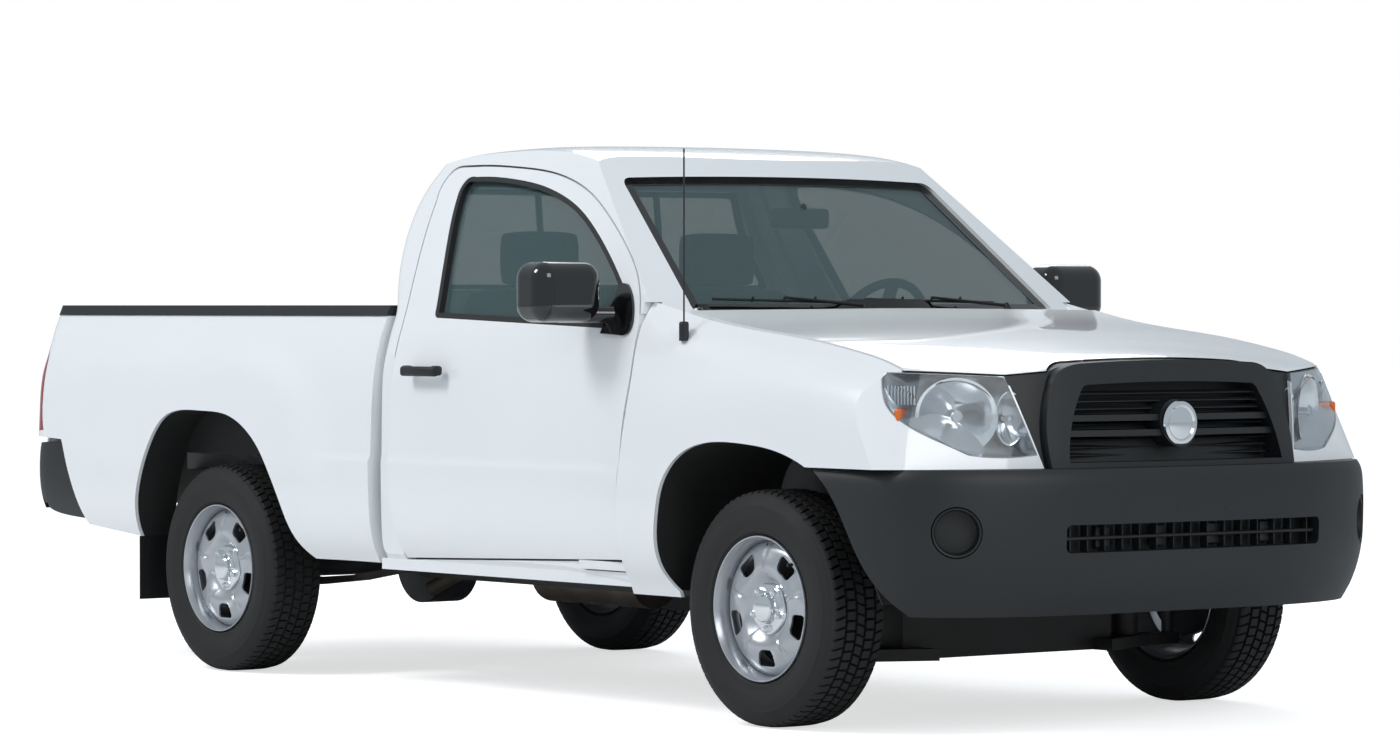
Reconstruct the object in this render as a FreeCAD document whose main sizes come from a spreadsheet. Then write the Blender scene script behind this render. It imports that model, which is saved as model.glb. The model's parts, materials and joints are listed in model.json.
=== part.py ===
"""Pickup truck with a regular cab and an open bed.

Frame: +X forward, +Y to the truck's left, +Z up, origin on the ground below the middle of the truck.
"""
import FreeCAD, Part
import math
import os
import Sketcher
from FreeCAD import Rotation, Vector

SIZES = {
    # Whole truck
    "overall_length": 4836,
    "overall_width": 1834,
    "overall_height": 1665,
    "wheelbase": 2780,
    "front_overhang": 870,
    "track": 1540,
    # Gaps between panels, and clearances
    "panel_gap": 6,
    "glass_gap": 0.5,
    "seat_gap": 0.3,
    "shaft_gap": 0.05,
    "running_gap": 3,
    "cut_overrun": 40,
    # Body sheet and walls
    "skin_wall": 12,
    "pillar_wall": 55,
    "roof_wall": 32,
    "cab_back_wall": 45,
    "glass_thickness": 5,
    "windshield_thickness": 6,
    # Flares round the wheels
    "front_flare_out": 20,
    "rear_flare_out": 20,
    "front_flare_rearward": 720,
    "front_flare_forward": 900,
    "front_flare_rise": 613,
    "rear_flare_forward": 710,
    "rear_flare_rearward": 1700,
    "rear_flare_rise": 700,
    "flare_centre_height": 398,
    "ledge_fade": 12,
    "front_arch_reach": 413,
    "front_arch_top": 793,
    "rear_arch_reach": 411,
    "rear_arch_top": 838,
    "liner_wall": 4,
    "liner_gap": 2,
    "liner_inner_offset": 470,
    # Doors
    "door_length": 1249,
    "door_height": 1192,
    "door_bottom_height": 408,
    "door_setback": 569,
    "door_thickness": 92,
    "door_frame_thickness": 42,
    "belt_height": 1122,
    "door_front_gap": 8,
    "door_swing_offset": 878,
    "door_hinge_setback": 110,
    "hinge_skin": 6,
    "hinge_pin_radius": 6,
    "hinge_knuckle_radius": 12,
    "hinge_knuckle_length": 60,
    "mirror_length": 150,
    "mirror_width": 235,
    "mirror_height": 175,
    "mirror_arm_radius": 24,
    "mirror_base_wall": 8,
    # Cab
    "cab_back_setback": 1845,
    "cab_corner_radius": 40,
    "sill_height": 368,
    "fender_foot_height": 348,
    "sill_box_offset": 660,
    "sill_box_width": 78,
    "sill_box_height": 112,
    "floor_height": 470,
    "floor_wall": 14,
    "firewall_setback": 520,
    "cowl_height": 1130,
    "nose_setback": 424,
    "tunnel_width": 320,
    "tunnel_height": 130,
    "windshield_bulge": 60,
    "windshield_recess": 26,
    "seat_riser": 130,
    "seat_setback": 70,
    "seat_width": 1290,
    "seat_depth": 560,
    "seat_base_thickness": 160,
    "seat_back_height": 635,
    "headrest_width": 264,
    "headrest_height": 170,
    "headrest_thickness": 90,
    "headrest_offset": 351,
    "dash_depth": 310,
    "dash_height": 330,
    "column_radius": 32,
    "steering_wheel_radius": 190,
    "steering_rim_radius": 14,
    "steering_offset": 365,
    # Hood and front
    "hood_thickness": 28,
    "hood_half_width": 782,
    "hood_crown": 14,
    "lamp_depth": 110,
    "lamp_gap": 4,
    "grille_wing_setback": 14,
    "grille_depth": 60,
    "grille_stand_out": 16,
    "grille_bar_height": 17,
    "grille_boss_radius": 66,
    "bumper_wall": 16,
    "bumper_top_height": 733,
    "bumper_bottom_height": 335,
    "fog_recess_radius": 70,
    "fog_recess_depth": 55,
    "fog_forward": 730,
    "fog_offset": 770,
    "fog_height": 566,
    "fog_turn": 37,
    "bumper_slot_depth": 80,
    "bumper_slot_height": 76,
    "bumper_slot_width": 954,
    "bumper_slot_centre_height": 545,
    "plate_hole_spacing": 178,
    "plate_hole_radius": 4,
    "plate_hole_height": 616,
    # Bed
    "bed_inside_length": 1915,
    "bed_inside_width": 1460,
    "bed_between_wells": 1054,
    "bed_floor_height": 719,
    "bed_wall": 26,
    "bed_rail_height": 1143,
    "rail_cap_height": 33,
    "bed_cab_gap": 18,
    "bedside_wall": 70,
    "wheel_well_height": 175,
    "wheel_well_length": 960,
    "tailgate_thickness": 52,
    "tailgate_gap": 8,
    "tailgate_bottom_height": 702,
    "tailgate_pivot_radius": 9,
    "rear_bumper_depth": 150,
    "rear_bumper_step_height": 652,
    "rear_bumper_bottom_height": 452,
    "rear_bumper_wall": 5,
    "ball_hole_radius": 13,
    "tail_corner_radius": 60,
    # Frame and drive
    "rail_width": 70,
    "rail_depth": 120,
    "rail_offset": 400,
    "rail_bottom_height": 312,
    "rail_kick_height": 190,
    "rail_front_rise": 60,
    "rail_front_setback": 150,
    "rail_rear_setback": 110,
    "antenna_radius": 2.5,
    "antenna_base_radius": 14,
    "antenna_height": 1620,
    "antenna_setback": 357,
    "antenna_offset": 850,
    "mud_flap_wall": 5,
    "mud_flap_width": 150,
    "mud_flap_offset": 891,
    "mud_flap_bottom": 213,
    "crossmember_depth": 70,
    "axle_tube_radius": 38,
    "differential_radius": 140,
    "spring_width": 64,
    "spring_thickness": 24,
    "spring_offset": 520,
    "spring_length": 1250,
    "engine_length": 620,
    "engine_width": 480,
    "engine_height": 560,
    "gearbox_length": 700,
    "gearbox_width": 300,
    "gearbox_height": 260,
    "propshaft_radius": 32,
    "exhaust_radius": 25,
    "muffler_radius": 90,
    "muffler_length": 520,
    "tank_length": 820,
    "tank_width": 290,
    "tank_offset": 60,
    "tank_height": 210,
    # Wheels and steering
    "tyre_radius": 332,
    "tyre_width": 215,
    "tyre_shoulder": 27,
    "rim_radius": 203,
    "rim_width": 190,
    "rim_wall": 9,
    "rim_drop_radius": 168,
    "disc_wall": 9,
    "disc_inset": 40,
    "hub_radius": 62,
    "hub_length": 44,
    "wheel_window_radius": 27,
    "wheel_window_circle": 137,
    "lug_circle_radius": 57.15,
    "lug_radius": 10,
    "wheel_spoke_count": 5,
    "spindle_radius": 19,
    "brake_disc_radius": 138,
    "brake_disc_wall": 22,
    "steer_axis_offset": 690,
    "kingpin_radius": 17,
    "knuckle_height": 250,
    "tie_rod_radius": 9,
    "steer_arm_length": 115,
    "arm_thickness": 34,
    "lower_arm_root": 330,
    "lower_arm_spread": 150,
    "upper_arm_spread": 95,
    "coil_radius": 42,
    "coil_offset": 515,
    "coil_top_height": 760,
    "rack_radius": 24,
    "rack_setback": 150,
    "steer_ratio": 16,
    "hood_hinge_setback": 435,
    "hood_hinge_height": 1143,
    "hood_hinge_radius": 5,
    "hood_arm_thickness": 8,
    "hood_arm_offset": 690,
    "steering_tilt": 65,
    "steering_setback": 948,
    "steering_hub_radius": 52,
    "steering_height": 1086,
    "cowl_panel_thickness": 16,
}

doc = FreeCAD.newDocument("Pickup")
sheet = doc.addObject("Spreadsheet::Sheet", "Sizes")
for row, (alias, value) in enumerate(SIZES.items(), 1):
    sheet.set(f"A{row}", alias)
    sheet.set(f"B{row}", str(value))
    sheet.setAlias(f"B{row}", alias)
doc.recompute()


class Size:
    """A length with the sheet formula that gives it, so that a feature can follow the sheet."""

    def __init__(self, value, formula):
        self.value = float(value)
        self.formula = formula

    def __float__(self):
        return self.value

    def _join(self, other, sign, value):
        return Size(value, f"({self.formula} {sign} {formula_of(other)})")

    def __add__(self, other):
        return self._join(other, "+", self.value + float(other))

    def __sub__(self, other):
        return self._join(other, "-", self.value - float(other))

    def __mul__(self, other):
        return self._join(other, "*", self.value * float(other))

    def __truediv__(self, other):
        return self._join(other, "/", self.value / float(other))

    def __neg__(self):
        return Size(-self.value, f"(0 - {self.formula})")


def formula_of(number):
    return number.formula if isinstance(number, Size) else repr(float(number))


class Cells:
    """The sheet's sizes by name."""


cell = Cells()
size = Cells()
for alias in SIZES:
    setattr(cell, alias, Size(sheet.get(alias), f"Sizes.{alias}"))
    setattr(size, alias, float(sheet.get(alias)))

ZERO = Size(0, "0")
half_length = size.overall_length / 2
half_width = size.overall_width / 2
height = size.overall_height
front_axle_x = half_length - size.front_overhang
rear_axle_x = front_axle_x - size.wheelbase
front_axle = cell.overall_length / 2 - cell.front_overhang
rear_axle = front_axle - cell.wheelbase
door_front_x = front_axle_x - size.door_setback
door_rear_x = door_front_x - size.door_length
cab_back_x = front_axle_x - size.cab_back_setback
bed_front_x = cab_back_x - size.bed_cab_gap
bed_inside_front_x = bed_front_x - size.bed_wall
bed_inside_rear_x = bed_inside_front_x - size.bed_inside_length
tail_x = bed_inside_rear_x - size.tailgate_thickness
SIDES = {"right": -1, "left": 1}

pieces = {}


# Helpers for solids that follow the sheet by formula

def bind_place(feature, x, y, z):
    for axis, value in zip("xyz", (x, y, z)):
        if isinstance(value, Size):
            feature.setExpression(f"Placement.Base.{axis}", value.formula)


def block(name, x, y, z):
    """Box between two values on each axis."""
    box = doc.addObject("Part::Box", name)
    for prop, (low, high) in zip(("Length", "Width", "Height"), (x, y, z)):
        box.setExpression(prop, (high - low).formula)
    bind_place(box, x[0], y[0], z[0])
    return box


TURNS = {"x": Rotation(Vector(0, 1, 0), 90), "y": Rotation(Vector(1, 0, 0), -90), "z": Rotation()}


def rod(name, axis, radius, length, x, y, z):
    """Round bar from a start point along +X, +Y or +Z."""
    bar = doc.addObject("Part::Cylinder", name)
    bar.Placement = FreeCAD.Placement(Vector(), TURNS[axis])
    bar.setExpression("Radius", radius.formula)
    bar.setExpression("Height", length.formula)
    bind_place(bar, x, y, z)
    return bar


def joined(label, members):
    """Members that touch become one solid; the others stay apart in the same node."""
    fuse = doc.addObject("Part::MultiFuse", label)
    fuse.Shapes = members
    fuse.Refine = True
    return keep(label, fuse)


def keep(label, feature):
    feature.Label = label
    pieces[label] = feature
    return feature


# Helpers for curved panels

def point(x_share, y_share, z_share):
    """Place in shares of half the length, half the width and the height."""
    return Vector(x_share * half_length, y_share * half_width, z_share * height)


def runs_face(runs, place):
    """Flat face inside runs of points: two points make a straight run, more a smooth one."""
    edges = []
    for run in runs:
        points = [place(*entry) for entry in run]
        if len(points) == 2:
            edges.append(Part.LineSegment(points[0], points[1]).toShape())
        else:
            curve = Part.BSplineCurve()
            curve.interpolate(points)
            edges.append(curve.toShape())
    return Part.Face(Part.Wire(edges))


def skin(poles):
    """Smooth face over a grid of poles."""
    surface = Part.BSplineSurface()
    rows, columns = len(poles), len(poles[0])
    knots = []
    for count in (rows, columns):
        inner = count - 3
        knots.append(([4] + [1] * (inner - 1) + [4], list(range(inner + 1))))
    surface.buildFromPolesMultsKnots(
        poles, knots[0][0], knots[1][0], knots[0][1], knots[1][1], False, False, 3, 3)
    return surface.toShape()


def across(face, low, high):
    """Prism of a face drawn in the XZ plane, from one width to another."""
    moved = face.copy()
    moved.translate(Vector(0, low, 0))
    return moved.extrude(Vector(0, high - low, 0))


def mirrored(shape):
    return shape.mirror(Vector(0, 0, 0), Vector(0, 1, 0))


def sided(shape, side):
    """The right-hand shape, or its mirror image for the left side."""
    return shape if side == "right" else mirrored(shape)


def box(x, y, z):
    """Plain cutter between two values on each axis."""
    return Part.makeBox(x[1] - x[0], y[1] - y[0], z[1] - z[0], Vector(x[0], y[0], z[0]))


def formed(label, shape):
    """Sub-part whose form comes from curved faces."""
    feature = doc.addObject("Part::Feature", label)
    feature.Shape = shape
    feature.Placement = FreeCAD.Placement()
    return keep(label, feature)


def one_solid(shape):
    """The largest solid of a cut, without its offcuts."""
    return max(shape.Solids, key=lambda solid: solid.Volume)


def ease(value):
    """Smooth step from zero to one."""
    held = min(max(value, 0.0), 1.0)
    return held * held * (3 - 2 * held)


# The body's outer surface: half width at a height, flares round the wheels, fender shoulders

SECTION_SHARES = [
    (0.150, 0.880), (0.207, 0.914), (0.231, 0.929), (0.247, 0.951), (0.282, 0.974), (0.336, 0.983),
    (0.390, 0.986), (0.422, 0.987), (0.427, 0.977), (0.456, 0.975), (0.533, 0.971), (0.577, 0.964),
    (0.619, 0.950), (0.655, 0.931), (0.686, 0.908), (0.751, 0.857), (0.811, 0.810), (0.871, 0.763),
    (0.931, 0.714), (0.973, 0.676), (1.060, 0.610),
]
LEDGE_SHARES = (0.400, 0.440)
PLAIN_SECTION_SHARES = [
    entry for entry in SECTION_SHARES if not LEDGE_SHARES[0] < entry[0] < LEDGE_SHARES[1]]
LOW_ROW_SHARES = [
    0.150, 0.195, 0.220, 0.235, 0.255, 0.290, 0.340, 0.385, 0.413, 0.4215, 0.4275, 0.440, 0.480, 0.530,
    0.570, 0.595, 0.615, 0.635, 0.655, 0.675, 0.695, 0.715, 0.740,
]
CAB_ROW_SHARES = LOW_ROW_SHARES[:-1] + [0.760, 0.820, 0.880, 0.940, 0.985, 1.060]
HOOD_LINE_SHARES = [
    (0.430, 0.716, 0.709), (0.482, 0.703, 0.693), (0.521, 0.694, 0.682), (0.562, 0.685, 0.673),
    (0.616, 0.676, 0.664), (0.672, 0.668, 0.656), (0.720, 0.660, 0.647), (0.762, 0.652, 0.637),
    (0.796, 0.646, 0.628), (0.823, 0.640, 0.620), (0.858, 0.634, 0.604), (0.889, 0.628, 0.589),
    (0.915, 0.621, 0.574), (0.939, 0.607, 0.559), (0.964, 0.583, 0.541),
]
SHOULDER_SHARE = 0.078
SHOULDER_LIMIT_SHARE = 0.42
FLARE_EDGE_SHARE = 0.15
FRONT_FLARE_POWER = 4
REAR_FLARE_POWER = 3


def between(table, value, column=1):
    """Straight interpolation in a table sorted by its first column."""
    for low, high in zip(table, table[1:]):
        if value <= high[0]:
            part = (value - low[0]) / (high[0] - low[0])
            return low[column] + part * (high[column] - low[column])
    return table[-1][column]


def flare(x, z, centre, rearward, forward, rise, out, power):
    """How far a flare stands out at a place on the side."""
    reach = forward if x > centre else rearward
    above = max(z - size.flare_centre_height, 0)
    ring = ((abs(x - centre) / reach) ** power + (above / rise) ** power) ** (1 / power)
    return out * ease((1 - ring) / FLARE_EDGE_SHARE)


def fender_shoulder(x, z):
    """How far the fender turns in towards the hood's edge."""
    shut = between(HOOD_LINE_SHARES, x / half_length, 2)
    depth = max(z / height - shut + SHOULDER_SHARE, 0) / SHOULDER_SHARE
    drop = between(SECTION_SHARES, shut) - size.hood_half_width / half_width
    return min(drop * depth ** 2, SHOULDER_LIMIT_SHARE) * half_width


def side_width(x, z, with_shoulder):
    flared = flare(x, z, front_axle_x, size.front_flare_rearward, size.front_flare_forward,
                   size.front_flare_rise, size.front_flare_out, FRONT_FLARE_POWER)
    flared += flare(x, z, rear_axle_x, size.rear_flare_rearward, size.rear_flare_forward,
                    size.rear_flare_rise, size.rear_flare_out, REAR_FLARE_POWER)
    ledged, plain = (between(table, z / height) for table in (SECTION_SHARES, PLAIN_SECTION_SHARES))
    width = (ledged + (plain - ledged) * ease(flared / size.ledge_fade)) * half_width + flared
    if with_shoulder:
        width -= fender_shoulder(x, z)
    return width


def upright(x, z):
    """No lean."""
    return 0


def side_skin(stations, row_shares, with_shoulder=False, turn_in=None, lean=upright):
    """Right-hand outer face over stations along the truck and rows of height."""
    poles = []
    for x in stations:
        inward = turn_in(x) if turn_in else 0
        poles.append([
            Vector(x + lean(x, share * height), inward - side_width(x, share * height, with_shoulder),
                   share * height)
            for share in row_shares])
    return skin(poles)


def stations(low, high, count):
    return [low + (high - low) * index / (count - 1) for index in range(count)]


def wall(face, outer, thickness):
    """Right-hand wall between two depths below an outer face."""
    moved = face.copy()
    moved.translate(Vector(0, outer, 0))
    return moved.extrude(Vector(0, thickness, 0))


def filled(face):
    """Everything between a right-hand face and its mirror image."""
    right = face.extrude(Vector(0, size.overall_width, 0))
    return right.common(mirrored(right))


# Doors: their outline on the side, in shares of the door's length and height

DOOR_FRONT_SHARES = [
    (0.986, 0.032), (0.984, 0.176), (0.993, 0.345), (0.999, 0.450), (0.999, 0.530), (0.990, 0.600)]
DOOR_TOP_SHARES = [
    (0.990, 0.600), (0.967, 0.650), (0.931, 0.705), (0.873, 0.762), (0.796, 0.820), (0.714, 0.874),
    (0.630, 0.920), (0.545, 0.952), (0.438, 0.977), (0.287, 0.993), (0.150, 1.000), (0.081, 1.000),
    (0.028, 0.992), (0.006, 0.968), (0.000, 0.915)]
DOOR_REAR_SHARES = [
    (0.000, 0.915), (0.003, 0.842), (0.014, 0.760), (0.027, 0.690), (0.042, 0.607), (0.045, 0.508),
    (0.043, 0.400), (0.042, 0.280), (0.046, 0.180), (0.062, 0.080), (0.090, 0.000)]
DOOR_RUNS_SHARES = [
    [(0.090, 0.000), (0.986, 0.032)], DOOR_FRONT_SHARES, DOOR_TOP_SHARES, DOOR_REAR_SHARES]
WINDOW_RUNS_SHARES = [
    [(0.188, 0.612), (0.936, 0.586)],
    [(0.936, 0.586), (0.955, 0.596), (0.952, 0.616)],
    [(0.952, 0.616), (0.930, 0.648), (0.885, 0.691), (0.828, 0.738), (0.761, 0.789), (0.680, 0.844),
     (0.596, 0.890), (0.509, 0.923), (0.412, 0.948), (0.305, 0.964), (0.200, 0.973), (0.130, 0.974)],
    [(0.130, 0.974), (0.094, 0.968), (0.079, 0.938)],
    [(0.079, 0.938), (0.085, 0.890), (0.107, 0.805), (0.139, 0.703), (0.160, 0.636)],
    [(0.160, 0.636), (0.168, 0.617), (0.188, 0.612)],
]


def spread(run_shares, gap, wide, tall):
    """Spreads shares about the middle of their outline, so that it grows by a gap all round."""
    ranges = []
    for index, unit in enumerate((wide, tall)):
        values = [entry[index] for run in run_shares for entry in run]
        low, high = min(values), max(values)
        ranges.append(((low + high) / 2, 1 + 2 * gap / ((high - low) * unit)))

    def grown(a, b):
        return [middle + (value - middle) * scale for value, (middle, scale) in zip((a, b), ranges)]
    return grown


def door_place(gap, run_shares=DOOR_RUNS_SHARES):
    """Puts door shares on the side, with their outline grown by a gap all round."""
    grown = spread(run_shares, gap, size.door_length, size.door_height)

    def place(a, b):
        a, b = grown(a, b)
        return Vector(door_rear_x + a * size.door_length, 0, size.door_bottom_height + b * size.door_height)
    return place


def door_prism(gap, run_shares=DOOR_RUNS_SHARES):
    face = runs_face(run_shares, door_place(gap, run_shares))
    return across(face, -size.overall_width, 2 * size.overall_width)


CAB_BACK_SHARES = [
    (0.000, 0.540), (0.001, 0.620), (0.001, 0.670), (-0.002, 0.702), (-0.022, 0.745), (-0.036, 0.795),
    (-0.042, 0.846), (-0.041, 0.890), (-0.035, 0.928), (-0.023, 0.957), (-0.008, 0.977), (0.020, 1.000)]


def cab_lean(x, z):
    """How far the cab's side follows its leaning back, less and less towards the front."""
    rising = [(level, back) for back, level in CAB_BACK_SHARES]
    fade = 1 - ease((x - cab_back_x - size.cab_corner_radius) / size.bed_rail_height)
    return fade * between(rising, max(z / height, rising[0][0])) * half_length


def cab_turn_in(x):
    """The cab's back corner turns in on its radius."""
    radius = size.cab_corner_radius
    past = min(max(cab_back_x + radius - x, 0), radius)
    return radius - math.sqrt(radius ** 2 - past ** 2)


cab_stations = (
    [cab_back_x - size.cab_corner_radius, cab_back_x - size.cab_corner_radius / 3]
    + stations(cab_back_x, cab_back_x + size.cab_corner_radius, 6)
    + stations(cab_back_x + 2 * size.cab_corner_radius, front_axle_x, 9))
cab_side = side_skin(cab_stations, CAB_ROW_SHARES, turn_in=cab_turn_in, lean=cab_lean)

fender_stations = stations(door_front_x - size.cut_overrun, half_length - size.cut_overrun, 27)
fender_side = side_skin(fender_stations, LOW_ROW_SHARES, with_shoulder=True)

ROOF_LINE_SHARES = [
    (-0.200, 0.900), (-0.165, 0.955), (-0.140, 0.977), (-0.105, 0.989), (-0.060, 0.996), (0.000, 0.999),
    (0.062, 1.001), (0.120, 0.998), (0.170, 0.990), (0.215, 0.976), (0.255, 0.955), (0.300, 0.922),
    (0.360, 0.870), (0.450, 0.780)]
ROOF_DROP_SHARES = [
    (-0.95, 0.100), (-0.80, 0.040), (-0.70, 0.014), (-0.60, 0.006), (-0.40, 0.002), (0.00, 0.000)]
WINDSHIELD_FOOT_SHARE = (0.460, 0.697)
WINDSHIELD_HEAD_SHARE = (0.247, 0.943)
WINDSHIELD_SPREAD_SHARE = 0.756
WINDSHIELD_RUN_SHARES = [
    [(-0.752, 0.692), (0.752, 0.692)],
    [(0.752, 0.692), (0.756, 0.698), (0.752, 0.712)],
    [(0.752, 0.712), (0.660, 0.912)],
    [(0.660, 0.912), (0.647, 0.928), (0.618, 0.934)],
    [(0.618, 0.934), (0.300, 0.938), (0.000, 0.939), (-0.300, 0.938), (-0.618, 0.934)],
    [(-0.618, 0.934), (-0.647, 0.928), (-0.660, 0.912)],
    [(-0.660, 0.912), (-0.752, 0.712)],
    [(-0.752, 0.712), (-0.756, 0.698), (-0.752, 0.692)],
]
REAR_WINDOW_RUN_SHARES = [
    [(-0.690, 0.735), (0.690, 0.735)],
    [(0.690, 0.735), (0.725, 0.742), (0.728, 0.762)],
    [(0.728, 0.762), (0.640, 0.905)],
    [(0.640, 0.905), (0.622, 0.921), (0.590, 0.926)],
    [(0.590, 0.926), (-0.590, 0.926)],
    [(-0.590, 0.926), (-0.622, 0.921), (-0.640, 0.905)],
    [(-0.640, 0.905), (-0.728, 0.762)],
    [(-0.728, 0.762), (-0.725, 0.742), (-0.690, 0.735)],
]

def roof_form(drop):
    """Everything below the roof's face, lowered by a wall."""
    half = ROOF_DROP_SHARES + [(-y, fall) for y, fall in reversed(ROOF_DROP_SHARES[:-1])]
    poles = [[point(x, y, z - fall) - Vector(0, 0, drop) for y, fall in half]
             for x, z in ROOF_LINE_SHARES]
    return skin(poles).extrude(Vector(0, 0, -height))


def windshield_form(back):
    """Everything behind the windshield's outer face, moved back by a wall."""
    foot = point(WINDSHIELD_FOOT_SHARE[0], 0, WINDSHIELD_FOOT_SHARE[1])
    head = point(WINDSHIELD_HEAD_SHARE[0], 0, WINDSHIELD_HEAD_SHARE[1])
    spread = WINDSHIELD_SPREAD_SHARE
    poles = []
    for along in (-3, -1, 1, 3):
        row = []
        for y_share in (-2 * spread, -1.2 * spread, -0.5 * spread, 0, 0.5 * spread, 1.2 * spread, 2 * spread):
            bulge = size.windshield_bulge * (y_share / spread) ** 2
            base = foot + (head - foot) * along
            row.append(base + Vector(-bulge - back, y_share * half_width, 0))
        poles.append(row)
    return skin(poles).extrude(Vector(-size.overall_length, 0, 0))


def front_view_prism(run_shares, gap, low_x, high_x):
    """Prism along the truck of an outline drawn from the front, grown by a gap."""
    grown = spread(run_shares, gap, half_width, height)

    def place(y, z):
        y, z = grown(y, z)
        return Vector(low_x, y * half_width, z * height)
    return runs_face(run_shares, place).extrude(Vector(high_x - low_x, 0, 0))


def side_face(runs):
    """Flat face inside runs of places that are already in the XZ plane."""
    return runs_face([[(place,) for place in run] for run in runs], lambda place: place)


def cab_back_curve(inset):
    return [Vector(cab_back_x + inset + a * half_length, 0, b * height) for a, b in CAB_BACK_SHARES]


def cab_form(inset_side, inset_roof, inset_back, inset_front):
    """The cab's closed form, or its hollow when walls are taken off."""
    def place(a, b):
        return Vector(cab_back_x + inset_back + a * half_length, 0, b * height)
    foot = size.sill_height / height
    front = (door_front_x - cab_back_x) / half_length
    cowl = (size.cowl_height - size.cowl_height * SHOULDER_SHARE / 3) / height
    nose = (front_axle_x - size.nose_setback - cab_back_x) / half_length
    top_back = CAB_BACK_SHARES[-1]
    outline = [
        [(0.000, foot), (front, foot)], [(front, foot), (front, cowl)], [(front, cowl), (nose, cowl)],
        [(nose, cowl), (nose, 1.05)], [(nose, 1.05), (top_back[0], 1.05)], [(top_back[0], 1.05), top_back],
        list(reversed(CAB_BACK_SHARES)), [CAB_BACK_SHARES[0], (0.000, foot)]]
    profile = across(runs_face(outline, place), -size.overall_width, 2 * size.overall_width)
    side = cab_side.copy()
    side.translate(Vector(0, inset_side, 0))
    return filled(side).common([profile]).common(roof_form(inset_roof)).common(windshield_form(inset_front))


# Cab shell: roof, pillars, back wall and sills

cab_outer = cab_form(0, 0, 0, 0)
cab_hollow = cab_form(size.pillar_wall, size.roof_wall, size.cab_back_wall, size.pillar_wall)
cab_hollow = cab_hollow.fuse(cab_hollow.translated(Vector(0, 0, -size.pillar_wall)))
windshield_opening = front_view_prism(WINDSHIELD_RUN_SHARES, 0, door_front_x - size.door_length / 2, half_length)
rear_opening = front_view_prism(
    REAR_WINDOW_RUN_SHARES, 0, cab_back_x - 3 * size.cab_corner_radius, cab_back_x + 2 * size.cab_back_wall)
fender_seat = wall(fender_side, -size.pillar_wall, size.pillar_wall + size.skin_wall + size.seat_gap)
fender_seat = fender_seat.common(
    box((door_front_x - 3 * size.panel_gap, front_axle_x), (-size.overall_width, 0),
        (0, size.cowl_height + size.pillar_wall)))

cowl_rear = front_axle_x - size.firewall_setback - size.floor_wall - size.seat_gap
cowl_half = size.sill_box_offset + size.sill_box_width + size.seat_gap
cowl_room = box(
    (cowl_rear, front_axle_x), (-cowl_half, cowl_half), (0, size.cowl_height + size.cowl_panel_thickness + size.seat_gap))
corner_room = box(
    (front_axle_x - size.door_setback / 1.2, front_axle_x), (-size.overall_width, -cowl_half), (0, height))
hinge_room = Part.makeCylinder(
    size.door_hinge_setback + size.panel_gap, size.belt_height - size.door_bottom_height,
    Vector(door_front_x - size.door_hinge_setback, -size.door_swing_offset, size.door_bottom_height))

cab_shell = cab_outer.cut([
    cab_hollow, windshield_opening, rear_opening, door_prism(size.panel_gap), hinge_room, mirrored(hinge_room),
    fender_seat, mirrored(fender_seat), cowl_room, corner_room, mirrored(corner_room)])
under_floor = box(
    (cab_back_x - size.cut_overrun, door_front_x), (-size.sill_box_offset, size.sill_box_offset),
    (0, size.floor_height + size.seat_gap))
cab_shell = one_solid(cab_shell.cut(under_floor))
sill_front_x = door_front_x - 2 * size.panel_gap
sill_box = box(
    (cab_back_x, sill_front_x), (-size.sill_box_offset - size.sill_box_width, -size.sill_box_offset),
    (size.sill_height, size.sill_height + size.sill_box_height))
sill_plate = box(
    (cab_back_x, sill_front_x), (-half_width + 2 * size.skin_wall + size.pillar_wall / 2, -size.sill_box_offset),
    (size.sill_height, size.door_bottom_height - size.panel_gap))
cab_shell = cab_shell.fuse([sill_box, sill_plate, mirrored(sill_box), mirrored(sill_plate)]).removeSplitter()
formed("cab_shell", cab_shell)

windshield = windshield_form(size.windshield_recess).cut(
    windshield_form(size.windshield_recess + size.windshield_thickness * 1.6))
windshield = windshield.common(front_view_prism(
    WINDSHIELD_RUN_SHARES, -size.glass_gap, door_front_x - size.door_length / 2, half_length))
formed("windshield", one_solid(windshield.common(cab_outer)))

glass_back = cab_back_curve(size.cab_back_wall / 2)
glass_front = cab_back_curve(size.cab_back_wall / 2 + size.glass_thickness)
rear_glass = across(side_face([
    glass_back, [glass_back[-1], glass_front[-1]], list(reversed(glass_front)), [glass_front[0], glass_back[0]]]),
    -half_width, 2 * half_width)
rear_window = rear_glass.common(front_view_prism(
    REAR_WINDOW_RUN_SHARES, -size.glass_gap, cab_back_x - 3 * size.cab_corner_radius,
    cab_back_x + 2 * size.cab_back_wall))
formed("rear_window", rear_window)

# Cab floor: floor, tunnel, firewall, cowl box and front posts

post_x = front_axle - cell.door_setback
floor_low = cell.floor_height - cell.floor_wall
floor_half = cell.sill_box_offset - cell.seat_gap
cab_back = front_axle - cell.cab_back_setback
firewall_x = front_axle - cell.firewall_setback
cowl_low = cell.cowl_height - cell.door_thickness
post_out = cell.sill_box_offset + cell.sill_box_width
tunnel_half = cell.tunnel_width / 2
floor_parts = [
    block("floor_plate", (cab_back, firewall_x), (-floor_half, floor_half), (floor_low, cell.floor_height)),
    block("firewall_plate", (firewall_x - cell.floor_wall, firewall_x), (-post_out, post_out),
          (floor_low, cell.cowl_height)),
    block("cowl_box", (firewall_x - cell.floor_wall, firewall_x + cell.door_thickness), (-post_out, post_out),
          (cowl_low, cell.cowl_height)),
    block("tunnel", (cab_back + cell.seat_depth, firewall_x), (-tunnel_half, tunnel_half),
          (cell.floor_height, cell.floor_height + cell.tunnel_height)),
]
seat_rear = cab_back + cell.seat_setback
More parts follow.
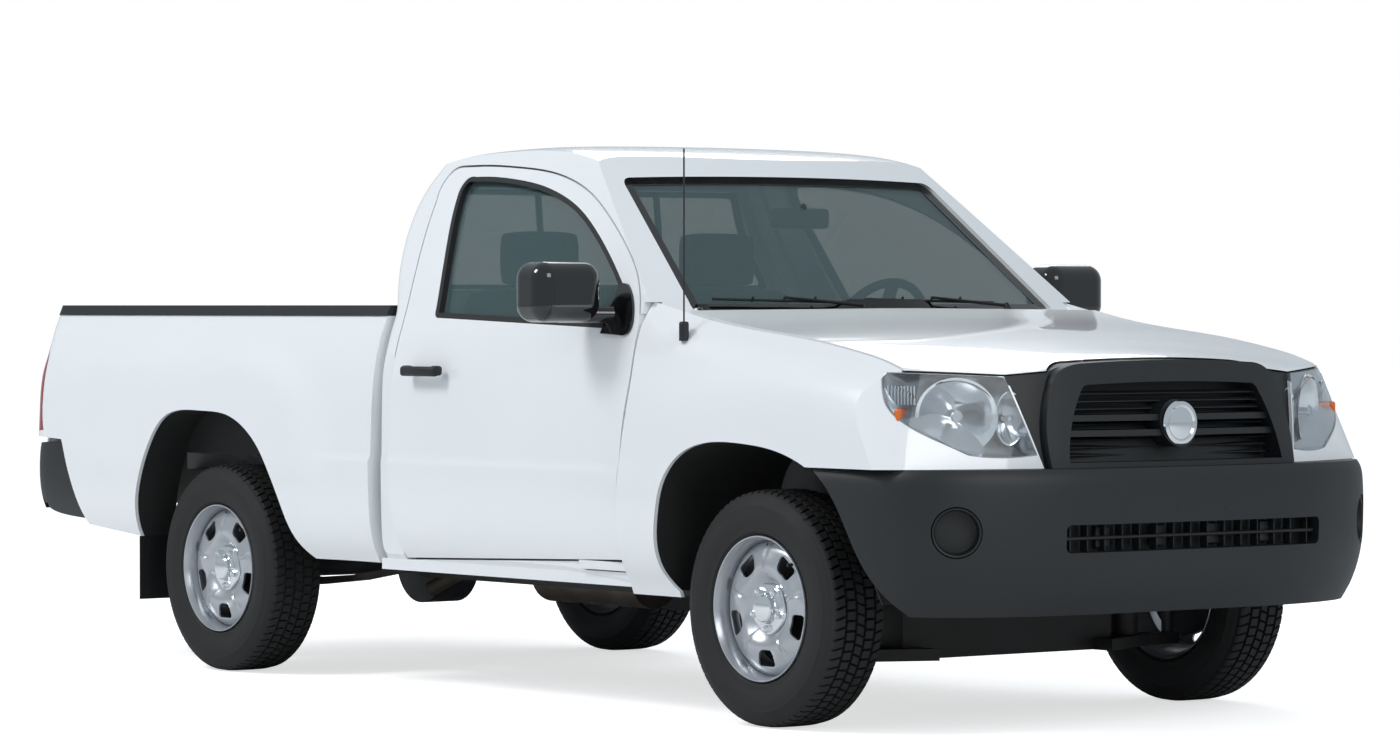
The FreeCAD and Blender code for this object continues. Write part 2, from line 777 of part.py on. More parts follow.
floor_parts.append(block(
    "seat_riser", (seat_rear, seat_rear + cell.seat_depth * 0.85),
    (-cell.seat_width * 0.42, cell.seat_width * 0.42), (cell.floor_height, cell.floor_height + cell.seat_riser)))
hood_hinge_x = front_axle - cell.hood_hinge_setback
hinge_x = post_x - cell.door_hinge_setback
hinge_heights = [
    cell.door_bottom_height + cell.door_height * 0.15, cell.door_bottom_height + cell.door_height * 0.36]
for name, sign in SIDES.items():
    inner, outer = sorted((post_out * sign, (post_out - cell.pillar_wall) * sign), key=float)
    floor_parts.append(block(
        f"front_post_{name}", (hinge_x - cell.pillar_wall / 2, firewall_x), (inner, outer),
        (cell.sill_height + cell.sill_box_height + cell.seat_gap, cell.cowl_height)))
    for level, middle in enumerate(hinge_heights):
        low = middle - cell.hinge_knuckle_length / 2
        arm_top = middle - cell.seat_gap
        arm = sorted((post_out * sign, cell.door_swing_offset * sign), key=float)
        floor_parts.append(block(
            f"hinge_arm_{name}_{level}", (hinge_x - cell.hinge_knuckle_radius, hinge_x + cell.hinge_knuckle_radius),
            arm, (low, arm_top)))
        floor_parts.append(rod(
            f"hinge_pin_{name}_{level}", "z", cell.hinge_pin_radius, cell.hinge_knuckle_length - cell.skin_wall,
            hinge_x, cell.door_swing_offset * sign, low))
    inner, outer = sorted(
        ((cell.hood_arm_offset - cell.hood_arm_thickness * 1.5) * sign,
         (cell.hood_arm_offset - cell.hood_arm_thickness / 4) * sign), key=float)
    floor_parts.append(block(
        f"hood_bracket_{name}", (hood_hinge_x - cell.hood_arm_thickness, hood_hinge_x + cell.hood_hinge_radius),
        (inner, outer), (cell.cowl_height - cell.skin_wall, cell.hood_hinge_height + cell.hood_hinge_radius)))
    pin_start = inner if sign > 0 else -cell.hood_arm_offset - cell.hood_arm_thickness
    floor_parts.append(rod(
        f"hood_pin_{name}", "y", cell.hood_hinge_radius, cell.hood_arm_thickness * 2.5, hood_hinge_x, pin_start,
        cell.hood_hinge_height))
joined("cab_floor", floor_parts)


# Doors with their window openings, hinge pockets and lugs

def hinge_pocket(x, y, middle):
    """Room for a hinge arm at the door's front edge."""
    radius = size.hinge_knuckle_radius + size.panel_gap
    half = size.hinge_knuckle_length / 2 + size.panel_gap
    room = box(
        (x - radius, x + size.overall_width), (y - radius, y + size.overall_width), (middle - half, middle + half))
    round_room = Part.makeCylinder(radius, 2 * half, Vector(x, y, middle - half))
    return room.fuse(round_room)


def door_form():
    """Right-hand door: full thickness below the belt, a slim frame round the window above."""
    door_stations = stations(door_rear_x - size.cut_overrun, door_front_x + size.cut_overrun, 9)
    door_side = side_skin(door_stations, CAB_ROW_SHARES)
    below = box((-half_length, half_length), (-size.overall_width, 0), (0, size.belt_height))
    full = wall(door_side, 0, size.door_thickness).common(below)
    slim = wall(door_side, 0, size.door_frame_thickness)
    door = full.fuse(slim).common(door_prism(0))
    door = door.cut(door_prism(0, WINDOW_RUNS_SHARES))
    x, y = float(hinge_x), -size.door_swing_offset
    behind_skin = wall(door_side, size.hinge_skin, size.overall_width)
    for level in hinge_heights:
        middle = float(level)
        door = door.cut(hinge_pocket(x, y, middle).common(behind_skin))
        top = middle + size.hinge_knuckle_length / 2 + size.panel_gap + size.seat_gap
        lug = Part.makeCylinder(size.hinge_knuckle_radius, top - middle, Vector(x, y, middle))
        bore = Part.makeCylinder(
            size.hinge_pin_radius + size.shaft_gap, size.hinge_knuckle_length, Vector(x, y, middle))
        door = door.fuse(lug).cut(bore)
    swing = size.door_swing_offset - size.sill_box_offset - size.sill_box_width - size.panel_gap
    door = door.cut(box((x, x + size.overall_width), (y, 0), (0, height)).cut(
        Part.makeCylinder(swing, height, Vector(x, y, 0))))
    glass = wall(door_side, size.door_frame_thickness / 2, size.glass_thickness)
    return one_solid(door), glass.common(door_prism(-size.glass_gap, WINDOW_RUNS_SHARES))


door_right, door_glass_right = door_form()


MIRROR_BASE_RUNS_SHARES = [
    [(0.862, 0.576), (0.940, 0.572)],
    [(0.940, 0.572), (0.966, 0.578), (0.970, 0.603)],
    [(0.970, 0.603), (0.948, 0.650), (0.905, 0.694)],
    [(0.905, 0.694), (0.878, 0.695), (0.872, 0.670)],
    [(0.872, 0.670), (0.862, 0.576)],
]


def mirror_form():
    """Right-hand mirror: a rounded shell on a stalk at the window's front corner."""
    length, width, tall = size.mirror_length, size.mirror_width, size.mirror_height
    centre = Vector(
        door_front_x - 1.4 * length, -half_width - width / 4 - size.panel_gap, size.belt_height + tall / 1.9)
    shell = box(
        (centre.x - length / 2, centre.x + length / 2), (centre.y - width / 2, centre.y + width / 2),
        (centre.z - tall / 2, centre.z + tall / 2))
    shell = shell.makeFillet(length / 3, shell.Edges)
    base_x = door_front_x - size.mirror_length
    base_z = size.belt_height + size.pillar_wall / 2
    base_y = -side_width(base_x, base_z, False)
    direction = Vector(centre.x - base_x, centre.y - base_y, 0)
    stalk = Part.makeCylinder(size.mirror_arm_radius, direction.Length, Vector(base_x, base_y, base_z), direction)
    sail = across(runs_face(MIRROR_BASE_RUNS_SHARES, door_place(0, MIRROR_BASE_RUNS_SHARES)), -half_width, 0)
    sail = sail.common(wall(cab_side, -size.mirror_base_wall, size.mirror_base_wall))
    return shell.fuse([stalk, sail]).cut(wall(cab_side, -size.seat_gap, size.door_thickness))


mirror_right = one_solid(mirror_form())
for side in SIDES:
    formed(f"door_{side}", sided(door_right, side))
    formed(f"door_glass_{side}", sided(door_glass_right, side))
    formed(f"mirror_{side}", sided(mirror_right, side))

# Fenders, hood, lamps, grille and front bumper

NOSE_LOW_SHARES = [
    (0.970, 0.000), (0.968, 0.150), (0.962, 0.330), (0.953, 0.510), (0.932, 0.680), (0.912, 0.830),
    (0.896, 0.930), (0.868, 1.020), (0.820, 1.090), (0.740, 1.160)]
NOSE_HIGH_SHARES = [
    (0.942, 0.000), (0.941, 0.150), (0.937, 0.330), (0.927, 0.490), (0.905, 0.630), (0.878, 0.765),
    (0.853, 0.865), (0.822, 0.950), (0.770, 1.030), (0.690, 1.120)]
NOSE_LEVEL_SHARES = [0.180, 0.430, 0.520, 0.610, 0.760]


def mirrored_row(entries):
    return [(x, -y) for x, y in reversed(entries)] + list(entries[1:])


def nose_form(back):
    """Everything behind the nose's face, moved back by a wall."""
    low = mirrored_row(NOSE_LOW_SHARES)
    high = mirrored_row(NOSE_HIGH_SHARES)
    first, last = NOSE_LEVEL_SHARES[1], NOSE_LEVEL_SHARES[3]
    poles = []
    for level in NOSE_LEVEL_SHARES:
        part = (level - first) / (last - first)
        poles.append([
            point(a[0] + (b[0] - a[0]) * part, a[1] + (b[1] - a[1]) * part, level) - Vector(back, 0, 0)
            for a, b in zip(low, high)])
    return skin(poles).extrude(Vector(-size.wheelbase / 2, 0, 0))


FRONT_ARCH_SHARES = [
    (-0.862, 0.460), (-0.970, 0.530), (-1.000, 0.643), (-0.966, 0.752), (-0.898, 0.859), (-0.770, 0.935),
    (-0.580, 0.982), (-0.378, 1.000), (-0.050, 0.999), (0.269, 0.982), (0.480, 0.956), (0.640, 0.926)]
BUMPER_ARCH_SHARES = [
    (0.640, 0.926), (0.896, 0.834), (1.048, 0.716), (1.200, 0.566), (1.400, 0.430)]


def front_arch(a, b):
    return Vector(front_axle_x + a * size.front_arch_reach, 0, b * size.front_arch_top)


def wheel_room(shares, axle_x, reach_x, top, gap):
    """Side view of the room below a wheel opening, grown by a gap."""
    spots = [Vector(axle_x + a * (reach_x + gap), 0, b * (top + gap)) for a, b in shares]
    feet = [Vector(spots[-1].x, 0, 0), Vector(spots[0].x, 0, 0)]
    return side_face([spots, [spots[-1], feet[0]], feet, [feet[1], spots[0]]])


def fender_outline():
    """Side outline of the right-hand fender, above the bumper and in front of the door."""
    edge = door_place(size.door_front_gap)
    rear = [edge(a, b) for a, b in DOOR_FRONT_SHARES]
    foot = Vector(rear[0].x, 0, size.fender_foot_height)
    arch = [front_arch(a, b) for a, b in FRONT_ARCH_SHARES]
    arch_foot = Vector(arch[0].x, 0, size.fender_foot_height)
    arch_end = Vector(arch[-1].x, 0, size.bumper_top_height + size.glass_gap)
    nose = Vector(half_length, 0, arch_end.z)
    top = Vector(half_length, 0, height)
    over = Vector(rear[-1].x, 0, height)
    runs = [
        [foot, arch_foot], [arch_foot, arch[0]], arch[:-1] + [arch_end], [arch_end, nose], [nose, top],
        [top, over], [over, rear[-1]], list(reversed(rear)), [rear[0], foot]]
    return side_face(runs)


nose_outer = nose_form(0)
LAMP_VIEW_SHARES = [
    [(-0.530, 0.462), (-0.640, 0.458), (-0.740, 0.463), (-0.850, 0.480), (-0.960, 0.496), (-1.060, 0.500)],
    [(-1.060, 0.500), (-1.060, 0.597)],
    [(-1.060, 0.597), (-0.880, 0.597), (-0.740, 0.594), (-0.593, 0.590)],
    [(-0.593, 0.590), (-0.530, 0.462)],
]
LAMP_REAR_SHARES = [
    (0.832, 0.625), (0.841, 0.599), (0.856, 0.545), (0.876, 0.513), (0.899, 0.486), (0.925, 0.450)]


def lamp_prism(gap):
    """Room of the right-hand headlamp, seen from the front and cut off behind on the side."""
    view = front_view_prism(LAMP_VIEW_SHARES, gap, front_axle_x, half_length)
    top, foot = LAMP_REAR_SHARES[0], LAMP_REAR_SHARES[-1]
    low, high = (1.000, foot[1]), (1.000, top[1])
    runs = [LAMP_REAR_SHARES, [foot, low], [low, high], [high, top]]
    face = runs_face(runs, lambda a, b: Vector(a * half_length - gap, 0, b * height))
    return view.common(across(face, -size.overall_width, size.overall_width))


GRILLE_VIEW_SHARES = [
    [(-0.490, 0.400), (0.490, 0.400)],
    [(0.490, 0.400), (0.500, 0.443), (0.503, 0.480), (0.490, 0.532), (0.462, 0.573)],
    [(0.462, 0.573), (0.437, 0.595), (0.400, 0.606), (0.340, 0.611)],
    [(0.340, 0.611), (0.000, 0.616), (-0.340, 0.611)],
    [(-0.340, 0.611), (-0.400, 0.606), (-0.437, 0.595), (-0.462, 0.573)],
    [(-0.462, 0.573), (-0.490, 0.532), (-0.503, 0.480), (-0.500, 0.443), (-0.490, 0.400)],
]
GRILLE_WING_SHARES = [
    [(-0.494, 0.400), (0.494, 0.400)],
    [(0.494, 0.400), (0.587, 0.590)],
    [(0.587, 0.590), (0.450, 0.596)],
    [(0.450, 0.596), (0.400, 0.606), (0.340, 0.611)],
    [(0.340, 0.611), (0.000, 0.616), (-0.340, 0.611)],
    [(-0.340, 0.611), (-0.400, 0.606), (-0.450, 0.596)],
    [(-0.450, 0.596), (-0.587, 0.590)],
    [(-0.587, 0.590), (-0.494, 0.400)],
]
GRILLE_OPENING_SHARES = [
    [(-0.438, 0.449), (0.438, 0.449)],
    [(0.438, 0.449), (0.395, 0.535), (0.368, 0.562)],
    [(0.368, 0.562), (0.352, 0.573), (0.325, 0.576)],
    [(0.325, 0.576), (0.000, 0.580), (-0.325, 0.576)],
    [(-0.325, 0.576), (-0.352, 0.573), (-0.368, 0.562)],
    [(-0.368, 0.562), (-0.395, 0.535), (-0.438, 0.449)],
]
above_bumper = box(
    (front_axle_x, half_length + size.cut_overrun), (-half_width, half_width),
    (size.bumper_top_height + size.glass_gap, height))
right_half = box((-half_length, half_length), (-size.overall_width, 0), (0, height))
hood_edge = box(
    (door_front_x - size.cut_overrun, half_length),
    (-size.hood_half_width - size.panel_gap, size.overall_width), (size.bumper_top_height, height))

def hood_form(drop):
    """Hood face over its length and width, lowered by a thickness, as a prism going down."""
    spans = (-1.15, -1.0, -0.8, -0.55, -0.25, 0.0, 0.25, 0.55, 0.8, 1.0, 1.15)
    poles = []
    for x_share, centre_share, side_share in HOOD_LINE_SHARES:
        crown = centre_share - side_share
        poles.append([
            Vector(x_share * half_length, across_share * size.hood_half_width,
                   (centre_share - crown * across_share ** 2) * height - drop)
            for across_share in spans])
    return skin(poles)


fender_wall = wall(fender_side, 0, size.skin_wall).common(across(fender_outline(), -size.overall_width, 0))
fender_wall = fender_wall.cut(hood_edge).common(nose_outer)
nose_wall = nose_outer.cut(nose_form(size.skin_wall)).common(above_bumper).common(right_half)
nose_wall = nose_wall.common(wall(fender_side, 0, size.overall_width))
under_hood = hood_form(size.hood_thickness + size.panel_gap).extrude(Vector(0, 0, height))
nose_wall = nose_wall.cut(under_hood)
fender_right = fender_wall.fuse(nose_wall)
fender_right = fender_right.cut([
    lamp_prism(size.glass_gap), front_view_prism(GRILLE_WING_SHARES, size.glass_gap, front_axle_x, half_length)])
fender_right = one_solid(fender_right)
lamp_right = nose_outer.cut(nose_form(size.lamp_depth)).common(lamp_prism(0))
lamp_right = one_solid(lamp_right.common(wall(fender_side, 0, size.overall_width)))
for side in SIDES:
    formed(f"fender_{side}", sided(fender_right, side))
both_lamps = doc.addObject("Part::Feature", "headlamps")
both_lamps.Shape = Part.makeCompound([lamp_right, mirrored(lamp_right)])
keep("headlamps", both_lamps)


HOOD_REAR_SHARES = [
    (0.468, -1.000), (0.474, -0.850), (0.486, -0.500), (0.490, 0.000), (0.486, 0.500), (0.474, 0.850),
    (0.468, 1.000)]


def hood_outline():
    side = size.hood_half_width / half_width
    rear = [(x, y * side) for x, y in HOOD_REAR_SHARES]
    runs = [
        rear, [(rear[-1][0], side), (1.000, side)], [(1.000, side), (1.000, -side)],
        [(1.000, -side), (rear[0][0], -side)]]
    face = runs_face(runs, lambda x, y: Vector(x * half_length, y * half_width, size.bumper_top_height))
    return face.extrude(Vector(0, 0, height))


def hood_panel():
    slab = hood_form(0).extrude(Vector(0, 0, -size.hood_thickness))
    panel = slab.common(hood_outline()).common(nose_form(size.panel_gap))
    lamps = lamp_prism(size.panel_gap)
    grille_room = front_view_prism(GRILLE_WING_SHARES, size.panel_gap, front_axle_x, half_length)
    panel = one_solid(panel.cut([lamps, mirrored(lamps), grille_room]))
    return panel.fuse([hood_arm, mirrored(hood_arm)])


def hood_arm_form():
    """Right-hand hinge arm: an eye round the pin and a tongue under the panel."""
    x, z = float(hood_hinge_x), size.hood_hinge_height
    eye = size.hood_hinge_radius * 1.8
    low_y = -size.hood_arm_offset - size.hood_arm_thickness
    ring = Part.makeCylinder(eye, size.hood_arm_thickness, Vector(x, low_y, z), Vector(0, 1, 0))
    tongue = box((x, x + size.hood_thickness * 3), (low_y, -size.hood_arm_offset), (z - eye, z + eye))
    bore = Part.makeCylinder(
        size.hood_hinge_radius + size.shaft_gap, size.hood_arm_thickness, Vector(x, low_y, z), Vector(0, 1, 0))
    above = hood_form(size.hood_thickness / 2).extrude(Vector(0, 0, height))
    return ring.fuse(tongue).cut([bore, above])


hood_arm = hood_arm_form()
hood = hood_panel()
formed("hood", hood)

GRILLE_BAR_SHARES = (0.496, 0.521)
GRILLE_BOSS_SHARE = 0.511


def grille_form():
    """Surround, two bars that swell into a plain boss, and a dark plate behind."""
    proud = nose_form(-size.grille_stand_out)
    slab = proud.cut(nose_form(size.grille_depth)).common(above_bumper)
    surround = slab.common(front_view_prism(GRILLE_VIEW_SHARES, 0, front_axle_x, half_length))
    opening = front_view_prism(GRILLE_OPENING_SHARES, 0, front_axle_x, half_length)
    wing_slab = nose_form(size.grille_wing_setback).cut(nose_form(size.grille_depth)).common(above_bumper)
    wings = wing_slab.common(front_view_prism(GRILLE_WING_SHARES, 0, front_axle_x, half_length))
    frame = surround.fuse(wings).cut(opening)
    bar_slab = nose_form(0).cut(nose_form(size.grille_depth / 2)).common(opening)
    bars = []
    for level in GRILLE_BAR_SHARES:
        low = level * height - size.grille_bar_height / 2
        bars.append(bar_slab.common(box(
            (front_axle_x, half_length), (-half_width, half_width), (low, low + size.grille_bar_height))))
    boss_x = half_length - size.front_overhang / 5
    boss = Part.makeCylinder(
        size.grille_boss_radius, size.front_overhang / 5,
        Vector(boss_x, 0, GRILLE_BOSS_SHARE * height), Vector(1, 0, 0))
    boss = boss.common(nose_form(-size.grille_stand_out / 2))
    back = nose_form(size.grille_depth - size.liner_wall).cut(nose_form(size.grille_depth)).common(above_bumper)
    back = back.common(opening)
    return one_solid(frame.fuse(bars + [boss, back]))


formed("grille", grille_form())

# Front bumper

BUMPER_PLAN_SHARES = [
    (1.000, 0.000), (1.000, 0.200), (0.999, 0.380), (0.988, 0.560), (0.965, 0.740), (0.935, 0.870),
    (0.895, 0.955), (0.845, 0.988), (0.790, 1.000), (0.735, 1.008), (0.690, 1.014)]
BUMPER_SECTION_SHARES = [
    (0.470, 0.060), (0.443, 0.030), (0.434, 0.012), (0.415, 0.002), (0.370, 0.000), (0.330, 0.000),
    (0.290, 0.006), (0.245, 0.030), (0.215, 0.060), (0.180, 0.110)]


def bumper_form(back):
    """Everything behind the bumper's face, moved in by a wall."""
    plan = mirrored_row(BUMPER_PLAN_SHARES)
    last = len(BUMPER_PLAN_SHARES) - 1
    poles = []
    for z_share, tuck_share in BUMPER_SECTION_SHARES:
        row = []
        for index, (x, y) in enumerate(plan):
            turn = (index - last) / last * math.pi / 2
            tuck = tuck_share * half_width + back
            row.append(point(x, y, z_share) - Vector(tuck * math.cos(turn) ** 2, tuck * math.sin(turn), 0))
        poles.append(row)
    return skin(poles).extrude(Vector(-size.wheelbase / 3, 0, 0))


def bumper_outline():
    start = front_arch(*BUMPER_ARCH_SHARES[0])
    arch = [Vector(start.x, 0, size.bumper_top_height)]
    arch += [front_arch(a, b) for a, b in BUMPER_ARCH_SHARES[1:]]
    foot = Vector(arch[-1].x, 0, size.bumper_bottom_height)
    far = half_length + size.cut_overrun
    nose_low = Vector(far, 0, size.bumper_bottom_height)
    nose_high = Vector(far, 0, size.bumper_top_height)
    runs = [arch, [arch[-1], foot], [foot, nose_low], [nose_low, nose_high], [nose_high, arch[0]]]
    face = side_face(runs)
    return across(face, -size.overall_width, 2 * size.overall_width)


def bumper_shell():
    outer = bumper_form(0)
    inside = bumper_form(size.bumper_wall)
    below_top = box(
        (0, half_length), (-size.overall_width, size.overall_width),
        (0, size.bumper_top_height - size.bumper_wall))
    core = nose_form(size.grille_depth).common(inside)
    arch_space = inside.common(box(
        (0, front_axle_x + size.front_arch_reach * 1.3), (-half_width, half_width), (0, height)))
    shell = outer.cut([inside.common(below_top), core, arch_space]).common(bumper_outline())
    def slot_room(depth, grow):
        half_wide = size.bumper_slot_width / 2 + grow
        half_tall = size.bumper_slot_height / 2 + grow
        middle = size.bumper_slot_centre_height
        room = box(
            (half_length - depth, half_length + size.cut_overrun), (-half_wide, half_wide),
            (middle - half_tall, middle + half_tall))
        along = [edge for edge in room.Edges if abs(edge.tangentAt(edge.FirstParameter).x) > 0.9]
        return room.makeFillet(size.bumper_wall, along)
    slot = slot_room(size.bumper_slot_depth, 0)
    slot_cup = slot_room(size.bumper_slot_depth + size.skin_wall, size.skin_wall).common(outer)
    turn = math.radians(size.fog_turn)
    outward = Vector(math.cos(turn), -math.sin(turn), 0)
    fog_mouth = Vector(front_axle_x + size.fog_forward, -size.fog_offset, size.fog_height)

    def fog_room(radius, depth):
        return Part.makeCylinder(
            radius, depth + size.cut_overrun, fog_mouth - outward * depth, outward)
    fog = fog_room(size.fog_recess_radius, size.fog_recess_depth)
    fog_cup = fog_room(
        size.fog_recess_radius + size.skin_wall, size.fog_recess_depth + size.skin_wall).common(outer)
    holes = [Part.makeCylinder(
        size.plate_hole_radius, size.overall_length, Vector(0, y, size.plate_hole_height), Vector(1, 0, 0))
        for y in (-size.plate_hole_spacing / 2, size.plate_hole_spacing / 2)]
    beam_face = half_length - size.rail_front_setback + size.crossmember_depth / 2 + size.seat_gap
    beam_low = size.rail_bottom_height + size.rail_front_rise
    rib_half = size.rail_width / 2
    ribs = [outer.common(box(
        (beam_face, half_length), (middle - rib_half, middle + rib_half), (beam_low, beam_low + size.crossmember_depth)))
        for middle in (size.rail_offset, -size.rail_offset)]
    cups = [slot_cup, fog_cup, mirrored(fog_cup)]
    return one_solid(shell.fuse(ribs + cups).cut([slot, fog, mirrored(fog)] + holes))


front_bumper = bumper_shell()
formed("front_bumper", front_bumper)

# Bed: cargo box, bedsides, rail caps, tailgate, tail lamps and rear bumper

REAR_ARCH_SHARES = [
    (-1.015, 0.502), (-1.022, 0.570), (-1.000, 0.660), (-0.922, 0.763), (-0.800, 0.882), (-0.630, 0.965),
    (-0.400, 0.998), (-0.061, 1.000), (0.299, 0.988), (0.584, 0.933), (0.822, 0.841), (1.073, 0.675),
    (1.224, 0.547), (1.420, 0.460)]
BEDSIDE_BACK_SHARES = [
    (0.000, 0.686), (-0.002, 0.640), (-0.006, 0.600), (-0.004, 0.540), (0.004, 0.480), (0.011, 0.442)]
REAR_BUMPER_EDGE_SHARES = [(-0.878, 0.434), (-0.858, 0.377), (-0.837, 0.317), (-0.812, 0.266)]
bed_low = size.bed_floor_height - size.bed_wall


def rear_arch(a, b):
    return Vector(rear_axle_x + a * size.rear_arch_reach, 0, b * size.rear_arch_top)


def bumper_edge(gap):
    """Where the rear bumper's cap ends on the side, moved towards the bedside by a gap."""
    return [Vector(a * half_length + gap, 0, b * height + gap) for a, b in REAR_BUMPER_EDGE_SHARES]


def bedside_outline():
    top = size.bed_rail_height
    back = [Vector(tail_x + a * half_length, 0, b * height) for a, b in BEDSIDE_BACK_SHARES]
    back[0].z = top
    edge = bumper_edge(size.panel_gap)
    arch = [rear_arch(a, b) for a, b in REAR_ARCH_SHARES]
    front_low = Vector(bed_front_x - size.panel_gap, 0, arch[-1].z)
    front_high = Vector(bed_front_x, 0, top)
    runs = [
        back, [back[-1], edge[0]], edge, [edge[-1], arch[0]], arch, [arch[-1], front_low],
        [front_low, front_high], [front_high, back[0]]]
    return across(side_face(runs), -size.overall_width, 0)


def tail_turn_in(x):
    """The bedside's back corner turns in on its radius."""
    radius = size.tail_corner_radius
    past = min(max(tail_x + radius - x, 0), radius)
    return radius - math.sqrt(radius ** 2 - past ** 2)


bed_stations = (
    [tail_x - size.tail_corner_radius, tail_x - size.tail_corner_radius / 3]
    + stations(tail_x, tail_x + size.tail_corner_radius, 6)
    + stations(tail_x + 2 * size.tail_corner_radius, bed_front_x + size.cut_overrun, 26))
bed_side = side_skin(bed_stations, LOW_ROW_SHARES, turn_in=tail_turn_in)
TAIL_LAMP_SHARES = [
    [(-0.010, 0.632), (0.010, 0.630)], [(0.010, 0.630), (0.022, 0.600), (0.026, 0.540), (0.030, 0.455)],
    [(0.030, 0.455), (-0.010, 0.450)], [(-0.010, 0.450), (-0.010, 0.632)]]
tailgate_half = cell.bed_inside_width / 2 - cell.tailgate_gap


def tail_lamp_room(gap):
    face = runs_face(TAIL_LAMP_SHARES, lambda a, b: Vector(
        tail_x + a * half_length + (gap if a > 0 else -gap), 0, b * height + (gap if b > 0.5 else -gap)))
    inner = -float(tailgate_half) - size.tailgate_gap - size.bed_wall + gap
    return across(face, -size.overall_width, inner)


bedside = wall(bed_side, 0, size.bedside_wall).common(bedside_outline())
inner_wall_y = size.bed_inside_width / 2 + size.bed_wall + size.seat_gap
tail_post = wall(bed_side, size.bedside_wall / 2, size.overall_width).common(box(
    (tail_x, bed_inside_rear_x - size.seat_gap), (-size.overall_width, -size.bed_inside_width / 2),
    (size.tailgate_bottom_height - 2 * size.tailgate_pivot_radius, size.bed_rail_height)))
beyond_wall = box((-half_length, half_length), (-inner_wall_y, size.overall_width), (0, height))
beyond_wall = beyond_wall.cut(box(
    (-half_length, bed_inside_rear_x - size.seat_gap), (-size.overall_width, -size.bed_inside_width / 2),
    (0, height)))
gate_x = tail_x + size.tailgate_thickness / 2
gate_z = size.tailgate_bottom_height + size.tailgate_pivot_radius + size.panel_gap
gate_bore = Part.makeCylinder(
    size.tailgate_pivot_radius + size.shaft_gap, size.bedside_wall / 2,
    Vector(gate_x, -size.bed_inside_width / 2 - size.bedside_wall / 2, gate_z), Vector(0, 1, 0))
liner_seat = across(wheel_room(
    REAR_ARCH_SHARES, rear_axle_x, size.rear_arch_reach, size.rear_arch_top,
    size.liner_gap + size.liner_wall + size.glass_gap), -size.overall_width, 0)
liner_seat = liner_seat.common(wall(bed_side, size.skin_wall, size.overall_width))
bedside = bedside.fuse(tail_post).cut([beyond_wall, tail_lamp_room(size.glass_gap), gate_bore, liner_seat])
bedside = one_solid(bedside)
tail_lamp = wall(bed_side, -size.glass_gap, size.overall_width).common(tail_lamp_room(0))
tail_lamp = one_solid(tail_lamp.common(box(
    (tail_x - size.cut_overrun, tail_x + size.cut_overrun * 2), (-size.overall_width, 0), (0, height))))
for side in SIDES:
    formed(f"bedside_{side}", sided(bedside, side))
tail_lamps = doc.addObject("Part::Feature", "tail_lamps")
tail_lamps.Shape = Part.makeCompound([tail_lamp, mirrored(tail_lamp)])
keep("tail_lamps", tail_lamps)

rail_cap = wall(bed_side, -size.liner_wall, size.overall_width).common(box(
    (tail_x, bed_front_x), (-size.overall_width, -size.bed_inside_width / 2 - size.panel_gap),
    (size.bed_rail_height + size.seat_gap, size.bed_rail_height + size.rail_cap_height)))
rail_cap = one_solid(rail_cap)
rail_caps = doc.addObject("Part::Feature", "rail_caps")
rail_caps.Shape = Part.makeCompound([rail_cap, mirrored(rail_cap)])
keep("rail_caps", rail_caps)

# Cargo box: floor, front wall, side walls and wheel wells

inside_front = front_axle - cell.cab_back_setback - cell.bed_cab_gap - cell.bed_wall
inside_rear = inside_front - cell.bed_inside_length
inside_half = cell.bed_inside_width / 2
floor_under = cell.bed_floor_height - cell.bed_wall
box_parts = [
    block("bed_floor", (inside_rear + cell.tailgate_gap, inside_front), (-inside_half, inside_half),
          (floor_under, cell.bed_floor_height)),
    block("bed_front_wall", (inside_front, inside_front + cell.bed_wall),
          (-inside_half - cell.bed_wall, inside_half + cell.bed_wall), (floor_under, cell.bed_rail_height)),
]
well_half = cell.bed_between_wells / 2
well_top = cell.bed_floor_height + cell.wheel_well_height
for name, sign in SIDES.items():
    inner, outer = sorted((inside_half * sign, (inside_half + cell.bed_wall) * sign), key=float)
    box_parts.append(block(
        f"bed_wall_{name}", (inside_rear, inside_front), (inner, outer), (floor_under, cell.bed_rail_height)))
    inner, outer = sorted((well_half * sign, inside_half * sign), key=float)
    box_parts.append(block(
        f"wheel_well_{name}", (rear_axle - cell.wheel_well_length / 2, rear_axle + cell.wheel_well_length / 2),
        (inner, outer), (cell.bed_floor_height, well_top)))
sill_half = cell.rail_offset + cell.rail_width
sill_under = cell.rail_bottom_height + cell.rail_depth + cell.rail_kick_height + cell.seat_gap
for index in range(3):
    spot = inside_front - cell.bed_inside_length * (index * 0.42 + 0.06)
    box_parts.append(block(
        f"cross_sill_{index}", (spot - cell.bed_wall, spot + cell.bed_wall), (-sill_half, sill_half),
        (sill_under, floor_under)))
joined("cargo_box", box_parts)


# Sketched pieces

def origin_plane(body, role):
    return next(item for item in body.Origin.OriginFeatures if item.Role == role)


def sketched(body, role, corners, name):
    """Closed outline of straight runs on one of the body's own planes, bound to the sheet."""
    sketch = body.newObject("Sketcher::SketchObject", name)
    sketch.AttachmentSupport = [(origin_plane(body, role), "")]
    sketch.MapMode = "FlatFace"
    spots = [Vector(float(a), float(b), 0) for a, b in corners]
    for index, spot in enumerate(spots):
        sketch.addGeometry(Part.LineSegment(spot, spots[(index + 1) % len(spots)]), False)
    for index in range(len(spots)):
        sketch.addConstraint(Sketcher.Constraint("Coincident", index, 2, (index + 1) % len(spots), 1))
    for index, corner in enumerate(corners):
        for kind, value in zip(("DistanceX", "DistanceY"), corner):
            number = sketch.addConstraint(Sketcher.Constraint(kind, -1, 1, index, 1, float(value)))
            if isinstance(value, Size):
                sketch.setExpression(f"Constraints[{number}]", value.formula)
    return sketch


